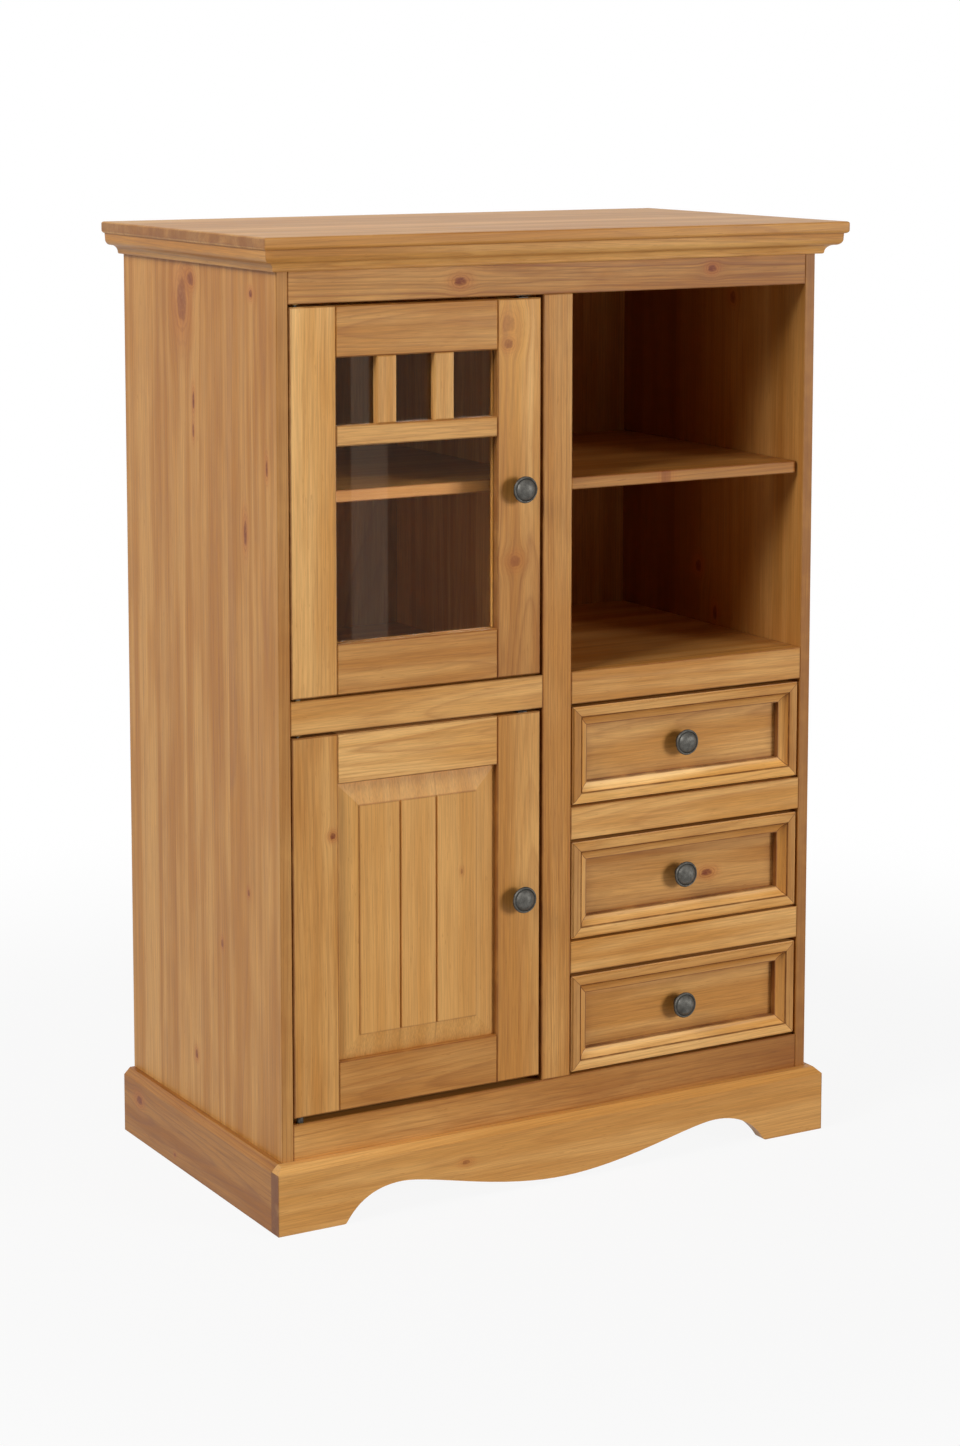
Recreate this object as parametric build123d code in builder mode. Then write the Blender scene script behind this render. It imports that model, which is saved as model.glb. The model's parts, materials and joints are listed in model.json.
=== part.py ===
"""Pine trastero cabinet: glazed door over panel door, open shelves over three drawers.

Millimetres. +Z is up, the front faces -Y, and the origin is on the floor at the centre of the
overall footprint.
"""
from build123d import *
import os

os.makedirs("parts", exist_ok=True)

# ---------------------------------------------------------------- carcass sizes
carcass_width = 816.0
carcass_depth = 463.0
board = 16.0                # sides, divider, shelves, middle and bottom boards
frame_thickness = 20.0      # rails and centre post of the face frame
ease = 1.0                  # worn arrises of the face frame
back_thickness = 9.0
back_lap = 8.0              # how far the back panel sits into the rebate of each side

# heights of the front, from the floor up
base_height = 136.0         # floor to the top of the bottom rail
bottom_rail_width = 60.0
drawer_opening = 139.5
rail_width = 43.5
upper_opening = 500.0
top_rail_width = 69.0
top_thickness = 16.0
post_width = 44.0

top_overhang_side = 32.0
top_overhang_front = 34.0
top_round = 3.0
top_under_round = 4.5       # lower arrises of the top board

# ---------------------------------------------------------------- cornice under the top
cornice_height = 28.0
cornice_depth = 27.5
cornice_flat = 8.0          # upright upper member
cornice_nose = 8.0          # round under the upright member
cornice_bead = 3.0          # small round at the foot
cornice_bead_reach = 8.6
cornice_cove = 10.5         # radius of the hollow between them
cornice_flare = 0.5         # lean of the upright member

# ---------------------------------------------------------------- plinth
plinth_height = 89.0
plinth_thickness = 20.0
plinth_side_thickness = 16.0
plinth_bevel = 9.0
foot_width = 97.0
arch_rise = 43.0
arch_crest = 245.0          # centre line to the highest point of each wave
drop_clearance = 6.0        # centre drop above the floor
toe_round = 5.0
# fullness of the wave's bends, as shares of the drop's half width, the heel's width and the rise
drop_width = 0.42
crest_width = 0.18
heel_flat = 0.52
heel_lean = 0.18
heel_bulge = 0.56

# ---------------------------------------------------------------- shelves
shelf_rise = 241.0          # clear height under the shelves
shelf_gap = 0.5
left_shelf_setback = 50.0
right_shelf_setback = 11.0
shelf_corner = 8.0          # front corners of the open shelf, seen from above
pin_radius = 2.5
pin_seat = 7.0
pin_reach = 8.0
pin_inset_front = 85.0
pin_inset_back = 55.0

# ---------------------------------------------------------------- doors
door_thickness = 20.0
door_gap_hinge = 2.0
door_gap_latch = 4.0
door_gap_top = 3.8
glass_door_gap_bottom = 2.7
panel_door_gap_bottom = 8.2
stile_width = 65.0
door_rail_width = 65.0
door_ease = 1.6             # softened edges that leave a V at every joint
tenon_length = 25.0
tenon_shoulder = 12.0
tenon_thickness = 6.0

bar_width = 26.0
bar_drop = 86.0             # underside of the top rail to the top of the crossbar
muntin_width = 28.0
muntin_offsets = (-45.0, 38.5)
glass_lip = 11.0
glass_thickness = 3.0
glass_lap = 8.0
glass_play = 1.0

groove_depth = 9.0
panel_tongue = 6.0
panel_play = 1.0
panel_bevel = 31.0
panel_step = 1.5
bevel_edge = 0.01           # square edge left where the bevel runs out
panel_sink = 1.0            # field below the face of the frame
tongue_sink = 8.0
vee_width = 4.0
vee_depth = 3.0
vee_spacing = 53.2

# ---------------------------------------------------------------- door pivots and catches
pivot_inset = 10.0          # axis from the hinge edge of the door
pivot_depth = 5.5           # axis behind the face of the door
pivot_radius = 2.0
pivot_clearance = 0.05
pivot_seat = 18.0
bush_radius = 3.5
bush_flange_radius = 5.0
bush_flange = 1.2
bush_length = 10.0
pivot_entry = 8.0
collar_radius = 4.5
collar_play = 0.3

catch_inset = 25.0          # from the latch edge of the door
catch_barrel_radius = 4.0
catch_barrel_length = 14.0
catch_plate = (14.0, 12.0, 1.0)
catch_nose_radius = 3.0
strike_plate = (22.0, 14.0, 0.8)
catch_play = 0.4

# ---------------------------------------------------------------- knobs
knob_radius = 17.5
knob_projection = 24.0
knob_rim = 3.0              # height of the rim's edge
knob_rim_height = 13.5      # seat to the back of the rim
knob_base_radius = 8.5
knob_base = 1.5             # height of the foot
knob_waist = 6.0            # seat to the narrowest place
knob_neck_radius = 6.0
knob_rim_ease = 0.8         # softened back edge of the rim
knob_bezel = 2.2            # width of the bezel inside the rim
knob_bezel_rise = 1.6
bezel_quirk = 0.6           # line between the bezel and the dome
bezel_drop = 0.4
dome_tapers = 4             # turned tapers that make the dome
screw_radius = 2.0
screw_head_radius = 4.0
screw_head = 2.4
screw_entry = 10.0

# ---------------------------------------------------------------- drawers
drawer_names = ("bottom", "middle", "top")
drawer_gap_side = 3.0
drawer_gap_bottom = 3.5
drawer_gap_top = 5.0
moulding_width = 27.0
moulding_band = 14.0        # flat outer member
moulding_depth = 25.0
moulding_round = 2.5
moulding_swell = 12.0       # radius of the round inner member
quirk = 2.2
quirk_slope = 1.0           # run of either side of the quirk
quirk_lip = 1.3             # depth at which the inner member begins
band_fall = 0.4
moulding_lip = 1.5          # flat along the inner edge
drawer_recess = 17.0        # face of the moulding to the flat panel
drawer_panel = 8.0
drawer_panel_lap = 8.0
drawer_lip = 9.0            # depth at which the inner member ends
drawer_side_thickness = 12.0
drawer_side_height = 110.0
drawer_bottom_thickness = 6.0
drawer_bottom_rise = 10.0
drawer_bottom_groove = 6.0
drawer_back_drop = 6.0
drawer_back_gap = 1.0
runner_width = 20.0
runner_height = 20.0
runner_play = 0.3

# ---------------------------------------------------------------- derived positions
face_y = (top_overhang_front - carcass_depth) / 2
back_y = face_y + carcass_depth
back_face_y = back_y - back_thickness
frame_back_y = face_y + frame_thickness
outer_x = carcass_width / 2
inner_x = outer_x - board
post_x = post_width / 2
divider_x = post_x - board                     # left face of the divider
rail_tops = [base_height + i * (drawer_opening + rail_width) for i in range(len(drawer_names))]
middle_z = rail_tops[-1] + drawer_opening      # underside of the middle rails
middle_top = middle_z + rail_width
upper_top = middle_top + upper_opening         # underside of the top rail
under_top = upper_top + top_rail_width
shelf_z = middle_top + shelf_rise

door_left = -inner_x + door_gap_hinge
door_right = -post_x - door_gap_latch
pane_left = door_left + stile_width
pane_right = door_right - stile_width
door_centre = (door_left + door_right) / 2
pivot_x = door_left + pivot_inset
pivot_y = face_y + pivot_depth
catch_x = door_right - catch_inset


def front(depth=0.0):
    """Upright plane facing forwards, `depth` behind the face of the cabinet."""
    return Plane.XZ.offset(-(face_y + depth))


def span(x0, x1, y0, y1):
    """Rectangle between two corners of the current sketch."""
    with Locations(((x0 + x1) / 2, (y0 + y1) / 2)):
        Rectangle(x1 - x0, y1 - y0)


def ease_front(piece, size):
    """Soften the arrises round the front face of a piece."""
    chamfer(piece.faces().sort_by(Axis.Y)[0].edges(), size)


pieces = {}

# ================================================================ carcass
with BuildPart() as top_board:
    with BuildSketch(Plane.XY.offset(under_top)):
        span(-outer_x - top_overhang_side, outer_x + top_overhang_side, face_y - top_overhang_front, back_y)
    extrude(amount=top_thickness)
    fillet(top_board.edges().group_by(Axis.Z)[-1], top_round)
    fillet(top_board.edges().group_by(Axis.Z)[0], top_under_round)
pieces["top_board"] = top_board.part


def cornice_profile():
    """Section of the cornice: reach outwards along x, height along y."""
    cove_x = cornice_depth - cornice_nose
    cove_y = cornice_height - cornice_flat - cornice_nose
    with BuildLine() as section:
        bead_start = (cornice_bead_reach - cornice_bead / 2, 0)
        Line((0, 0), bead_start)
        RadiusArc(bead_start, (cornice_bead_reach, cornice_bead), -cornice_bead)
        RadiusArc((cornice_bead_reach, cornice_bead), (cove_x, cove_y), cornice_cove)
        flat_start = (cornice_depth - cornice_flare, cornice_height - cornice_flat)
        RadiusArc((cove_x, cove_y), flat_start, -cornice_nose)
        Polyline(flat_start, (cornice_depth, cornice_height), (0, cornice_height), (0, 0))
    make_face(section.edges())


cornice_z = under_top - cornice_height
with BuildPart() as cornice_front:
    cornice_end = (outer_x + cornice_depth, face_y, cornice_z)
    with BuildSketch(Plane(cornice_end, x_dir=(0, -1, 0), z_dir=(-1, 0, 0))):
        cornice_profile()
    extrude(amount=2 * (outer_x + cornice_depth))
    for side in (-1, 1):
        split(bisect_by=Plane((side * outer_x, face_y, 0), z_dir=(-side, -1, 0)), keep=Keep.TOP)
pieces["cornice_front"] = cornice_front.part

with BuildPart() as cornice_right:
    with BuildSketch(Plane((outer_x, back_y, cornice_z), x_dir=(1, 0, 0), z_dir=(0, -1, 0))):
        cornice_profile()
    extrude(amount=carcass_depth + cornice_depth)
    split(bisect_by=Plane((outer_x, face_y, 0), z_dir=(1, 1, 0)), keep=Keep.TOP)
pieces["cornice_right"] = cornice_right.part

with BuildPart() as cornice_left:
    mirror(cornice_right.part, about=Plane.YZ)
pieces["cornice_left"] = cornice_left.part


def pin_planes(x, facing):
    """Seats of the two shelf pins on a wall at `x`, looking out of that wall."""
    z = shelf_z - pin_radius
    return [
        Plane((x, y, z), x_dir=(0, 1, 0), z_dir=(facing, 0, 0))
        for y in (face_y + pin_inset_front, back_face_y - pin_inset_back)
    ]


with BuildPart() as side_right:
    with BuildSketch(Plane.XY):
        span(inner_x, outer_x, face_y, back_y)
    extrude(amount=under_top)
    with BuildSketch(Plane.XY.offset(base_height - board)):
        span(inner_x, inner_x + back_lap, back_face_y, back_y)
    extrude(amount=under_top, mode=Mode.SUBTRACT)
    chamfer(side_right.faces().sort_by(Axis.Y)[0].edges().filter_by(Axis.Z), ease)
    with Locations(*pin_planes(inner_x, -1)):
        Hole(pin_radius, pin_seat)
pieces["side_right"] = side_right.part

with BuildPart() as side_left:
    mirror(side_right.part, about=Plane.YZ)
pieces["side_left"] = side_left.part

with BuildPart() as divider:
    with BuildSketch(Plane.XY.offset(base_height)):
        span(divider_x, post_x, frame_back_y, back_face_y)
    extrude(amount=under_top - base_height)
    with Locations(*pin_planes(divider_x, -1), *pin_planes(post_x, 1)):
        Hole(pin_radius, pin_seat)
pieces["divider"] = divider.part

with BuildPart() as centre_post:
    with BuildSketch(front()):
        span(-post_x, post_x, base_height, upper_top)
    extrude(amount=-frame_thickness)
    ease_front(centre_post, ease)
pieces["centre_post"] = centre_post.part

# ---------------------------------------------------------------- face-frame rails


def pivot_seats(*levels):
    """Seats of the pivot bushes; each level is (height, which way the seat looks)."""
    return [Plane((pivot_x, pivot_y, z), z_dir=(0, 0, facing)) for z, facing in levels]


with BuildPart() as top_rail:
    with BuildSketch(front()):
        span(-inner_x, inner_x, upper_top, under_top)
    extrude(amount=-frame_thickness)
    ease_front(top_rail, ease)
    with Locations(*pivot_seats((upper_top, -1))):
        Hole(bush_radius, bush_length)
pieces["top_rail"] = top_rail.part

with BuildPart() as middle_rail_left:
    with BuildSketch(front()):
        span(-inner_x, -post_x, middle_z, middle_top)
    extrude(amount=-frame_thickness)
    ease_front(middle_rail_left, ease)
    with Locations(*pivot_seats((middle_top, 1), (middle_z, -1))):
        Hole(bush_radius, bush_length)
pieces["middle_rail_left"] = middle_rail_left.part

with BuildPart() as middle_rail_right:
    with BuildSketch(front()):
        span(post_x, inner_x, middle_z, middle_top)
    extrude(amount=-frame_thickness)
    ease_front(middle_rail_right, ease)
pieces["middle_rail_right"] = middle_rail_right.part

drawer_rail_solids = []
for rail_top in rail_tops[1:]:
    with BuildPart() as drawer_rail:
        with BuildSketch(front()):
            span(post_x, inner_x, rail_top - rail_width, rail_top)
        extrude(amount=-frame_thickness)
        ease_front(drawer_rail, ease)
    drawer_rail_solids.append(drawer_rail.part)
pieces["drawer_rails"] = Compound(children=drawer_rail_solids)

with BuildPart() as bottom_rail:
    with BuildSketch(front()):
        span(-inner_x, inner_x, base_height - bottom_rail_width, base_height)
    extrude(amount=-frame_thickness)
    ease_front(bottom_rail, ease)
    with Locations(*pivot_seats((base_height, 1))):
        Hole(bush_radius, bush_length)
pieces["bottom_rail"] = bottom_rail.part

# ---------------------------------------------------------------- boards inside
with BuildPart() as middle_board_left:
    with BuildSketch(Plane.XY.offset(middle_top - board)):
        span(-inner_x, divider_x, frame_back_y, back_face_y)
    extrude(amount=board)
pieces["middle_board_left"] = middle_board_left.part

with BuildPart() as middle_board_right:
    with BuildSketch(Plane.XY.offset(middle_top - board)):
        span(post_x, inner_x, frame_back_y, back_face_y)
    extrude(amount=board)
pieces["middle_board_right"] = middle_board_right.part

with BuildPart() as bottom_board:
    with BuildSketch(Plane.XY.offset(base_height - board)):
        span(-inner_x, inner_x, frame_back_y, back_face_y)
    extrude(amount=board)
pieces["bottom_board"] = bottom_board.part

with BuildPart() as shelf_left:
    with BuildSketch(Plane.XY.offset(shelf_z)):
        span(-inner_x + shelf_gap, divider_x - shelf_gap,
             face_y + left_shelf_setback, back_face_y - shelf_gap)
    extrude(amount=board)
    ease_front(shelf_left, ease)
pieces["shelf_left"] = shelf_left.part

with BuildPart() as shelf_right:
    with BuildSketch(Plane.XY.offset(shelf_z)):
        span(post_x + shelf_gap, inner_x - shelf_gap,
             face_y + right_shelf_setback, back_face_y - shelf_gap)
    extrude(amount=board)
    fillet(shelf_right.edges().filter_by(Axis.Z).group_by(Axis.Y)[0], shelf_corner)
    nose = shelf_right.edges().filter_by(Axis.Z, reverse=True).group_by(Axis.Y)[0]
    chamfer(nose, ease)
pieces["shelf_right"] = shelf_right.part

with BuildPart() as shelf_pins:
    walls = ((-inner_x, 1), (divider_x, -1), (post_x, 1), (inner_x, -1))
    seats = [seat for x, facing in walls for seat in pin_planes(x, facing)]
    with Locations(*[seat.offset(-pin_seat) for seat in seats]):
        Cylinder(pin_radius, pin_seat + pin_reach, align=(Align.CENTER, Align.CENTER, Align.MIN))
pieces["shelf_pins"] = shelf_pins.part

with BuildPart() as back_panel:
    with BuildSketch(Plane.XZ.offset(-back_face_y)):
        span(-inner_x - back_lap, inner_x + back_lap, base_height - board, under_top)
    extrude(amount=-back_thickness)
pieces["back_panel"] = back_panel.part

with BuildPart() as drawer_runners:
    for rail_top in rail_tops[1:]:
        with BuildSketch(Plane.XY.offset(rail_top - runner_height)):
            span(post_x, post_x + runner_width, frame_back_y, back_face_y)
            span(inner_x - runner_width, inner_x, frame_back_y, back_face_y)
        extrude(amount=runner_height)
pieces["drawer_runners"] = drawer_runners.part

# ================================================================ plinth
with BuildPart() as plinth_front:
    plinth_x = outer_x + plinth_side_thickness
    foot_x = plinth_x - foot_width
    heel = foot_x - arch_crest
    with BuildSketch(front(-plinth_thickness)):
        with BuildLine():
            Bezier((0, drop_clearance), (arch_crest * drop_width, drop_clearance),
                   (arch_crest * (1 - crest_width), arch_rise), (arch_crest, arch_rise))
            Bezier((arch_crest, arch_rise), (foot_x - heel * (1 - heel_flat), arch_rise),
                   (foot_x - heel * heel_lean, arch_rise * heel_bulge), (foot_x, 0))
            Polyline((foot_x, 0), (plinth_x, 0), (plinth_x, plinth_height), (0, plinth_height))
            mirror(about=Plane.YZ)
        make_face()
    extrude(amount=-plinth_thickness)
    fillet(plinth_front.edges().filter_by(Axis.Y).group_by(Axis.Z)[0].sort_by(Axis.X)[1:3], toe_round)
    top_edges = plinth_front.faces().sort_by(Axis.Z)[-1].edges().sort_by(Axis.Y)
    chamfer(top_edges[:-1], plinth_bevel)
pieces["plinth_front"] = plinth_front.part

with BuildPart() as plinth_right:
    with BuildSketch(Plane.XY):
        span(outer_x, plinth_x, face_y, back_y)
    extrude(amount=plinth_height)
    chamfer(plinth_right.edges().filter_by(Axis.Y).group_by(Axis.Z)[-1].sort_by(Axis.X)[-1], plinth_bevel)
pieces["plinth_right"] = plinth_right.part

with BuildPart() as plinth_left:
    mirror(plinth_right.part, about=Plane.YZ)
pieces["plinth_left"] = plinth_left.part

# ================================================================ door hardware
bush_levels = ((upper_top, -1), (middle_top, 1), (middle_z, -1), (base_height, 1))
with BuildPart() as pivot_bushes:
    with Locations(*pivot_seats(*bush_levels)):
        Cylinder(bush_flange_radius, bush_flange, align=(Align.CENTER, Align.CENTER, Align.MIN))
        Cylinder(bush_radius, bush_length, align=(Align.CENTER, Align.CENTER, Align.MAX))
        Cylinder(pivot_radius + pivot_clearance, 2 * (bush_length + bush_flange), mode=Mode.SUBTRACT)
pieces["pivot_bushes"] = pivot_bushes.part

with BuildPart() as catch_strikes:
    for rail_z in (upper_top, middle_z):
        with Locations((catch_x, face_y + door_thickness / 2, rail_z)):
            Box(*strike_plate, align=(Align.CENTER, Align.CENTER, Align.MAX))
            Cylinder(catch_nose_radius - 1, 2 * strike_plate[2], mode=Mode.SUBTRACT)
pieces["catch_strikes"] = catch_strikes.part


def door_pivots(name, bottom, top, gap_bottom):
    """Upper and lower pivot pins of one door; the lower one carries a collar on its bush."""
    with BuildPart() as pivots:
        with Locations((pivot_x, pivot_y, top - pivot_seat)):
            Cylinder(pivot_radius, pivot_seat + door_gap_top + pivot_entry,
                     align=(Align.CENTER, Align.CENTER, Align.MIN))
        with Locations((pivot_x, pivot_y, bottom + pivot_seat)):
            Cylinder(pivot_radius, pivot_seat + gap_bottom + pivot_entry,
                     align=(Align.CENTER, Align.CENTER, Align.MAX))
        with Locations((pivot_x, pivot_y, bottom)):
            Cylinder(collar_radius, gap_bottom - bush_flange - collar_play,
                     align=(Align.CENTER, Align.CENTER, Align.MAX))
    pieces[f"{name}_pivots"] = pivots.part


def door_catch(name, top):
    """Spring catch let into the top edge of a door, its nose pointing up at the strike."""
    nose_top = door_gap_top - strike_plate[2] - catch_play
    with BuildPart() as catch:
        with Locations((catch_x, face_y + door_thickness / 2, top)):
            Box(*catch_plate, align=(Align.CENTER, Align.CENTER, Align.MIN))
            Cylinder(catch_barrel_radius, catch_barrel_length,
                     align=(Align.CENTER, Align.CENTER, Align.MAX))
            Cone(catch_nose_radius, catch_nose_radius / 3, nose_top,
                 align=(Align.CENTER, Align.CENTER, Align.MIN))
    pieces[f"{name}_catch"] = catch.part


def knob(name, x, z, seat_depth, wall):
    """Turned metal knob on a seat `seat_depth` behind the face, with its screw through a wall."""
    seat_y = face_y + seat_depth
    bezel_h = knob_rim_height + knob_rim
    bezel_r = knob_radius - knob_bezel
    dome_h = bezel_h + knob_bezel_rise - bezel_drop
    shares = [1 - step / dome_tapers for step in range(dome_tapers)]
    dome = [((bezel_r - bezel_quirk) * share, knob_projection - (knob_projection - dome_h) * share**2)
            for share in shares]
    with BuildPart() as turned:
        with BuildSketch(Plane((x, seat_y, z), x_dir=(1, 0, 0), z_dir=(0, 0, -1))):
            with BuildLine():
                Polyline((0, 0), (knob_base_radius, 0), (knob_base_radius, knob_base),
                         (knob_neck_radius, knob_waist), (knob_radius - knob_rim_ease, knob_rim_height),
                         (knob_radius, knob_rim_height + knob_rim_ease), (knob_radius, bezel_h),
                         (bezel_r, bezel_h + knob_bezel_rise), *dome, (0, knob_projection), (0, 0))
            make_face()
        revolve(axis=Axis((x, seat_y, z), (0, -1, 0)))
        with Locations(Plane((x, seat_y, z), z_dir=(0, 1, 0))):
            Hole(screw_radius, screw_entry)
    with BuildPart() as screw:
        with Locations(Plane((x, seat_y + wall, z), z_dir=(0, 1, 0))):
            Cylinder(screw_head_radius, screw_head, align=(Align.CENTER, Align.CENTER, Align.MIN))
            Cylinder(screw_radius, wall + screw_entry, align=(Align.CENTER, Align.CENTER, Align.MAX))
    pieces[f"{name}_knob"] = Compound(children=[turned.part, screw.part])


def door_frame(name, bottom, top, tenon_sink, pocket_lap, pocket_front, pocket_back):
    """Stiles and rails of one door.

    The rails end in tenons `tenon_sink` behind the face, and one pocket, `pocket_lap` wider than the
    sight opening and lying between two depths, takes the pane or the panel.
    """
    rail_low, rail_high = bottom + door_rail_width, top - door_rail_width
    knob_z = (bottom + top) / 2
    tenon_left, tenon_right = pane_left - tenon_length, pane_right + tenon_length

    with BuildSketch(front(pocket_front)) as pocket:
        span(pane_left - pocket_lap, pane_right + pocket_lap, rail_low - pocket_lap, rail_high + pocket_lap)
    with BuildSketch(front(tenon_sink)) as tenons:
        for z0, z1 in ((bottom, rail_low), (rail_high, top)):
            span(tenon_left, tenon_right, z0 + tenon_shoulder, z1 - tenon_shoulder)

    with BuildPart() as hinge_stile:
        with BuildSketch(front()):
            span(door_left, pane_left, bottom, top)
        extrude(amount=-door_thickness)
        ease_front(hinge_stile, door_ease)
        extrude(pocket.sketch, amount=pocket_front - pocket_back, mode=Mode.SUBTRACT)
        extrude(tenons.sketch, amount=-tenon_thickness, mode=Mode.SUBTRACT)
        with Locations(Plane((pivot_x, pivot_y, top), z_dir=(0, 0, 1)),
                       Plane((pivot_x, pivot_y, bottom), z_dir=(0, 0, -1))):
            Hole(pivot_radius, pivot_seat)
    pieces[f"{name}_hinge_stile"] = hinge_stile.part

    with BuildPart() as lock_stile:
        with BuildSketch(front()):
            span(pane_right, door_right, bottom, top)
        extrude(amount=-door_thickness)
        ease_front(lock_stile, door_ease)
        extrude(pocket.sketch, amount=pocket_front - pocket_back, mode=Mode.SUBTRACT)
        extrude(tenons.sketch, amount=-tenon_thickness, mode=Mode.SUBTRACT)
        with Locations(Plane((catch_x, face_y + door_thickness / 2, top), z_dir=(0, 0, 1))):
            Hole(catch_barrel_radius, catch_barrel_length)
        with Locations(Plane(((pane_right + door_right) / 2, face_y, knob_z), z_dir=(0, -1, 0))):
            Hole(screw_radius, door_thickness)
    pieces[f"{name}_lock_stile"] = lock_stile.part

    for rail_name, z0, z1 in (("bottom_rail", bottom, rail_low), ("top_rail", rail_high, top)):
        with BuildPart() as rail:
            with BuildSketch(front()):
                span(pane_left, pane_right, z0, z1)
            extrude(amount=-door_thickness)
            ease_front(rail, door_ease)
            with BuildSketch(front(tenon_sink)):
                span(tenon_left, tenon_right, z0 + tenon_shoulder, z1 - tenon_shoulder)
            extrude(amount=-tenon_thickness)
            extrude(pocket.sketch, amount=pocket_front - pocket_back, mode=Mode.SUBTRACT)
        pieces[f"{name}_{rail_name}"] = rail.part

    knob(name, (pane_right + door_right) / 2, knob_z, 0, door_thickness)
    door_catch(name, top)
    door_pivots(name, bottom, top, glass_door_gap_bottom if name == "glass_door" else panel_door_gap_bottom)
    return rail_low, rail_high


# ================================================================ glazed door
glass_bottom = middle_top + glass_door_gap_bottom
glass_top = upper_top - door_gap_top
sight_low, sight_high = door_frame("glass_door", glass_bottom, glass_top, (glass_lip - tenon_thickness) / 2,
                                   glass_lap, glass_lip, door_thickness)
bar_top = sight_high - bar_drop

with BuildPart() as crossbar:
    with BuildSketch(front()):
        span(pane_left, pane_right, bar_top - bar_width, bar_top)
    extrude(amount=-glass_lip)
    ease_front(crossbar, door_ease)
pieces["glass_door_crossbar"] = crossbar.part

muntin_solids = []
for offset_x in muntin_offsets:
    with BuildPart() as muntin:
        with BuildSketch(front()):
            x = door_centre + offset_x
            span(x - muntin_width / 2, x + muntin_width / 2, bar_top, sight_high)
        extrude(amount=-glass_lip)
        ease_front(muntin, door_ease)
    muntin_solids.append(muntin.part)
pieces["glass_door_muntins"] = Compound(children=muntin_solids)

with BuildPart() as glass_pane:
    lap = glass_lap - glass_play
    with BuildSketch(front(glass_lip)):
        span(pane_left - lap, pane_right + lap, sight_low - lap, sight_high + lap)
    extrude(amount=-glass_thickness)
pieces["glass_door_pane"] = glass_pane.part

bead_front = glass_lip + glass_thickness
bead_solids = []
for x0, x1, z0, z1 in (
    (pane_left - glass_lap, pane_left, sight_low - glass_lap, sight_high + glass_lap),
    (pane_right, pane_right + glass_lap, sight_low - glass_lap, sight_high + glass_lap),
    (pane_left, pane_right, sight_low - glass_lap, sight_low),
    (pane_left, pane_right, sight_high, sight_high + glass_lap),
):
    with BuildPart() as bead:
        with BuildSketch(front(bead_front)):
            span(x0, x1, z0, z1)
        extrude(amount=bead_front - door_thickness)
    bead_solids.append(bead.part)
pieces["glass_door_beads"] = Compound(children=bead_solids)

# ================================================================ panel door
panel_bottom = base_height + panel_door_gap_bottom
panel_top = middle_z - door_gap_top
panel_low, panel_high = door_frame("panel_door", panel_bottom, panel_top, tongue_sink,
                                   groove_depth, tongue_sink, tongue_sink + panel_tongue)

with BuildPart() as raised_panel:
    tongue = groove_depth - panel_play
    with BuildSketch(front(tongue_sink)):
        span(pane_left - tongue, pane_right + tongue, panel_low - tongue, panel_high + tongue)
    extrude(amount=-panel_tongue)
    with BuildSketch(front(tongue_sink)):
        span(pane_left, pane_right, panel_low, panel_high)
    bevel_rise = tongue_sink - panel_sink - panel_step
    extrude(amount=bevel_rise)
    shoulder = raised_panel.faces().sort_by(Axis.Y)[0]
    chamfer(shoulder.edges(), panel_bevel, bevel_rise - bevel_edge, reference=shoulder)
    field = (pane_left + panel_bevel, pane_right - panel_bevel,
             panel_low + panel_bevel, panel_high - panel_bevel)
    with BuildSketch(front(panel_sink + panel_step)):
        span(*field)
    extrude(amount=panel_step)
    with BuildSketch(Plane.XY.offset(field[2])):
        with Locations(*[(door_centre + side * vee_spacing / 2, face_y + panel_sink) for side in (-1, 1)]):
            Polygon((-vee_width / 2, 0), (vee_width / 2, 0), (0, vee_depth), align=None)
    extrude(amount=field[3] - field[2], mode=Mode.SUBTRACT)
pieces["panel_door_raised_panel"] = raised_panel.part

# ================================================================ drawers
drawer_left = post_x + drawer_gap_side
drawer_right = inner_x - drawer_gap_side
drawer_width = drawer_right - drawer_left
drawer_height = drawer_opening - drawer_gap_bottom - drawer_gap_top


def moulding_length(length, reach):
    """One mitred length of a drawer's frame, its outer edge `reach` below the frame's centre."""
    lip = moulding_width - moulding_lip
    swell_start = (moulding_band + quirk_slope, quirk_lip)
    with BuildPart() as bar:
        with BuildSketch(Plane((length / 2, 0, -reach), x_dir=(0, 0, 1), z_dir=(-1, 0, 0))):
            with BuildLine():
                Line((0, moulding_depth), (0, moulding_round))
                RadiusArc((0, moulding_round), (moulding_round, 0), moulding_round)
                Polyline((moulding_round, 0), (moulding_band - quirk_slope, band_fall),
                         (moulding_band, quirk), swell_start)
                RadiusArc(swell_start, (lip, drawer_lip), moulding_swell)
                Polyline((lip, drawer_lip), (moulding_width, drawer_lip), (moulding_width, drawer_recess),
                         (moulding_width - drawer_panel_lap, drawer_recess),
                         (moulding_width - drawer_panel_lap, moulding_depth), (0, moulding_depth))
            make_face()
        extrude(amount=length)
        for side in (-1, 1):
            split(bisect_by=Plane((side * length / 2, 0, -reach), z_dir=(-side, 0, -1)), keep=Keep.TOP)
    return bar.part


sill = moulding_length(drawer_width, drawer_height / 2)
upright = moulding_length(drawer_height, drawer_width / 2)

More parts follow.
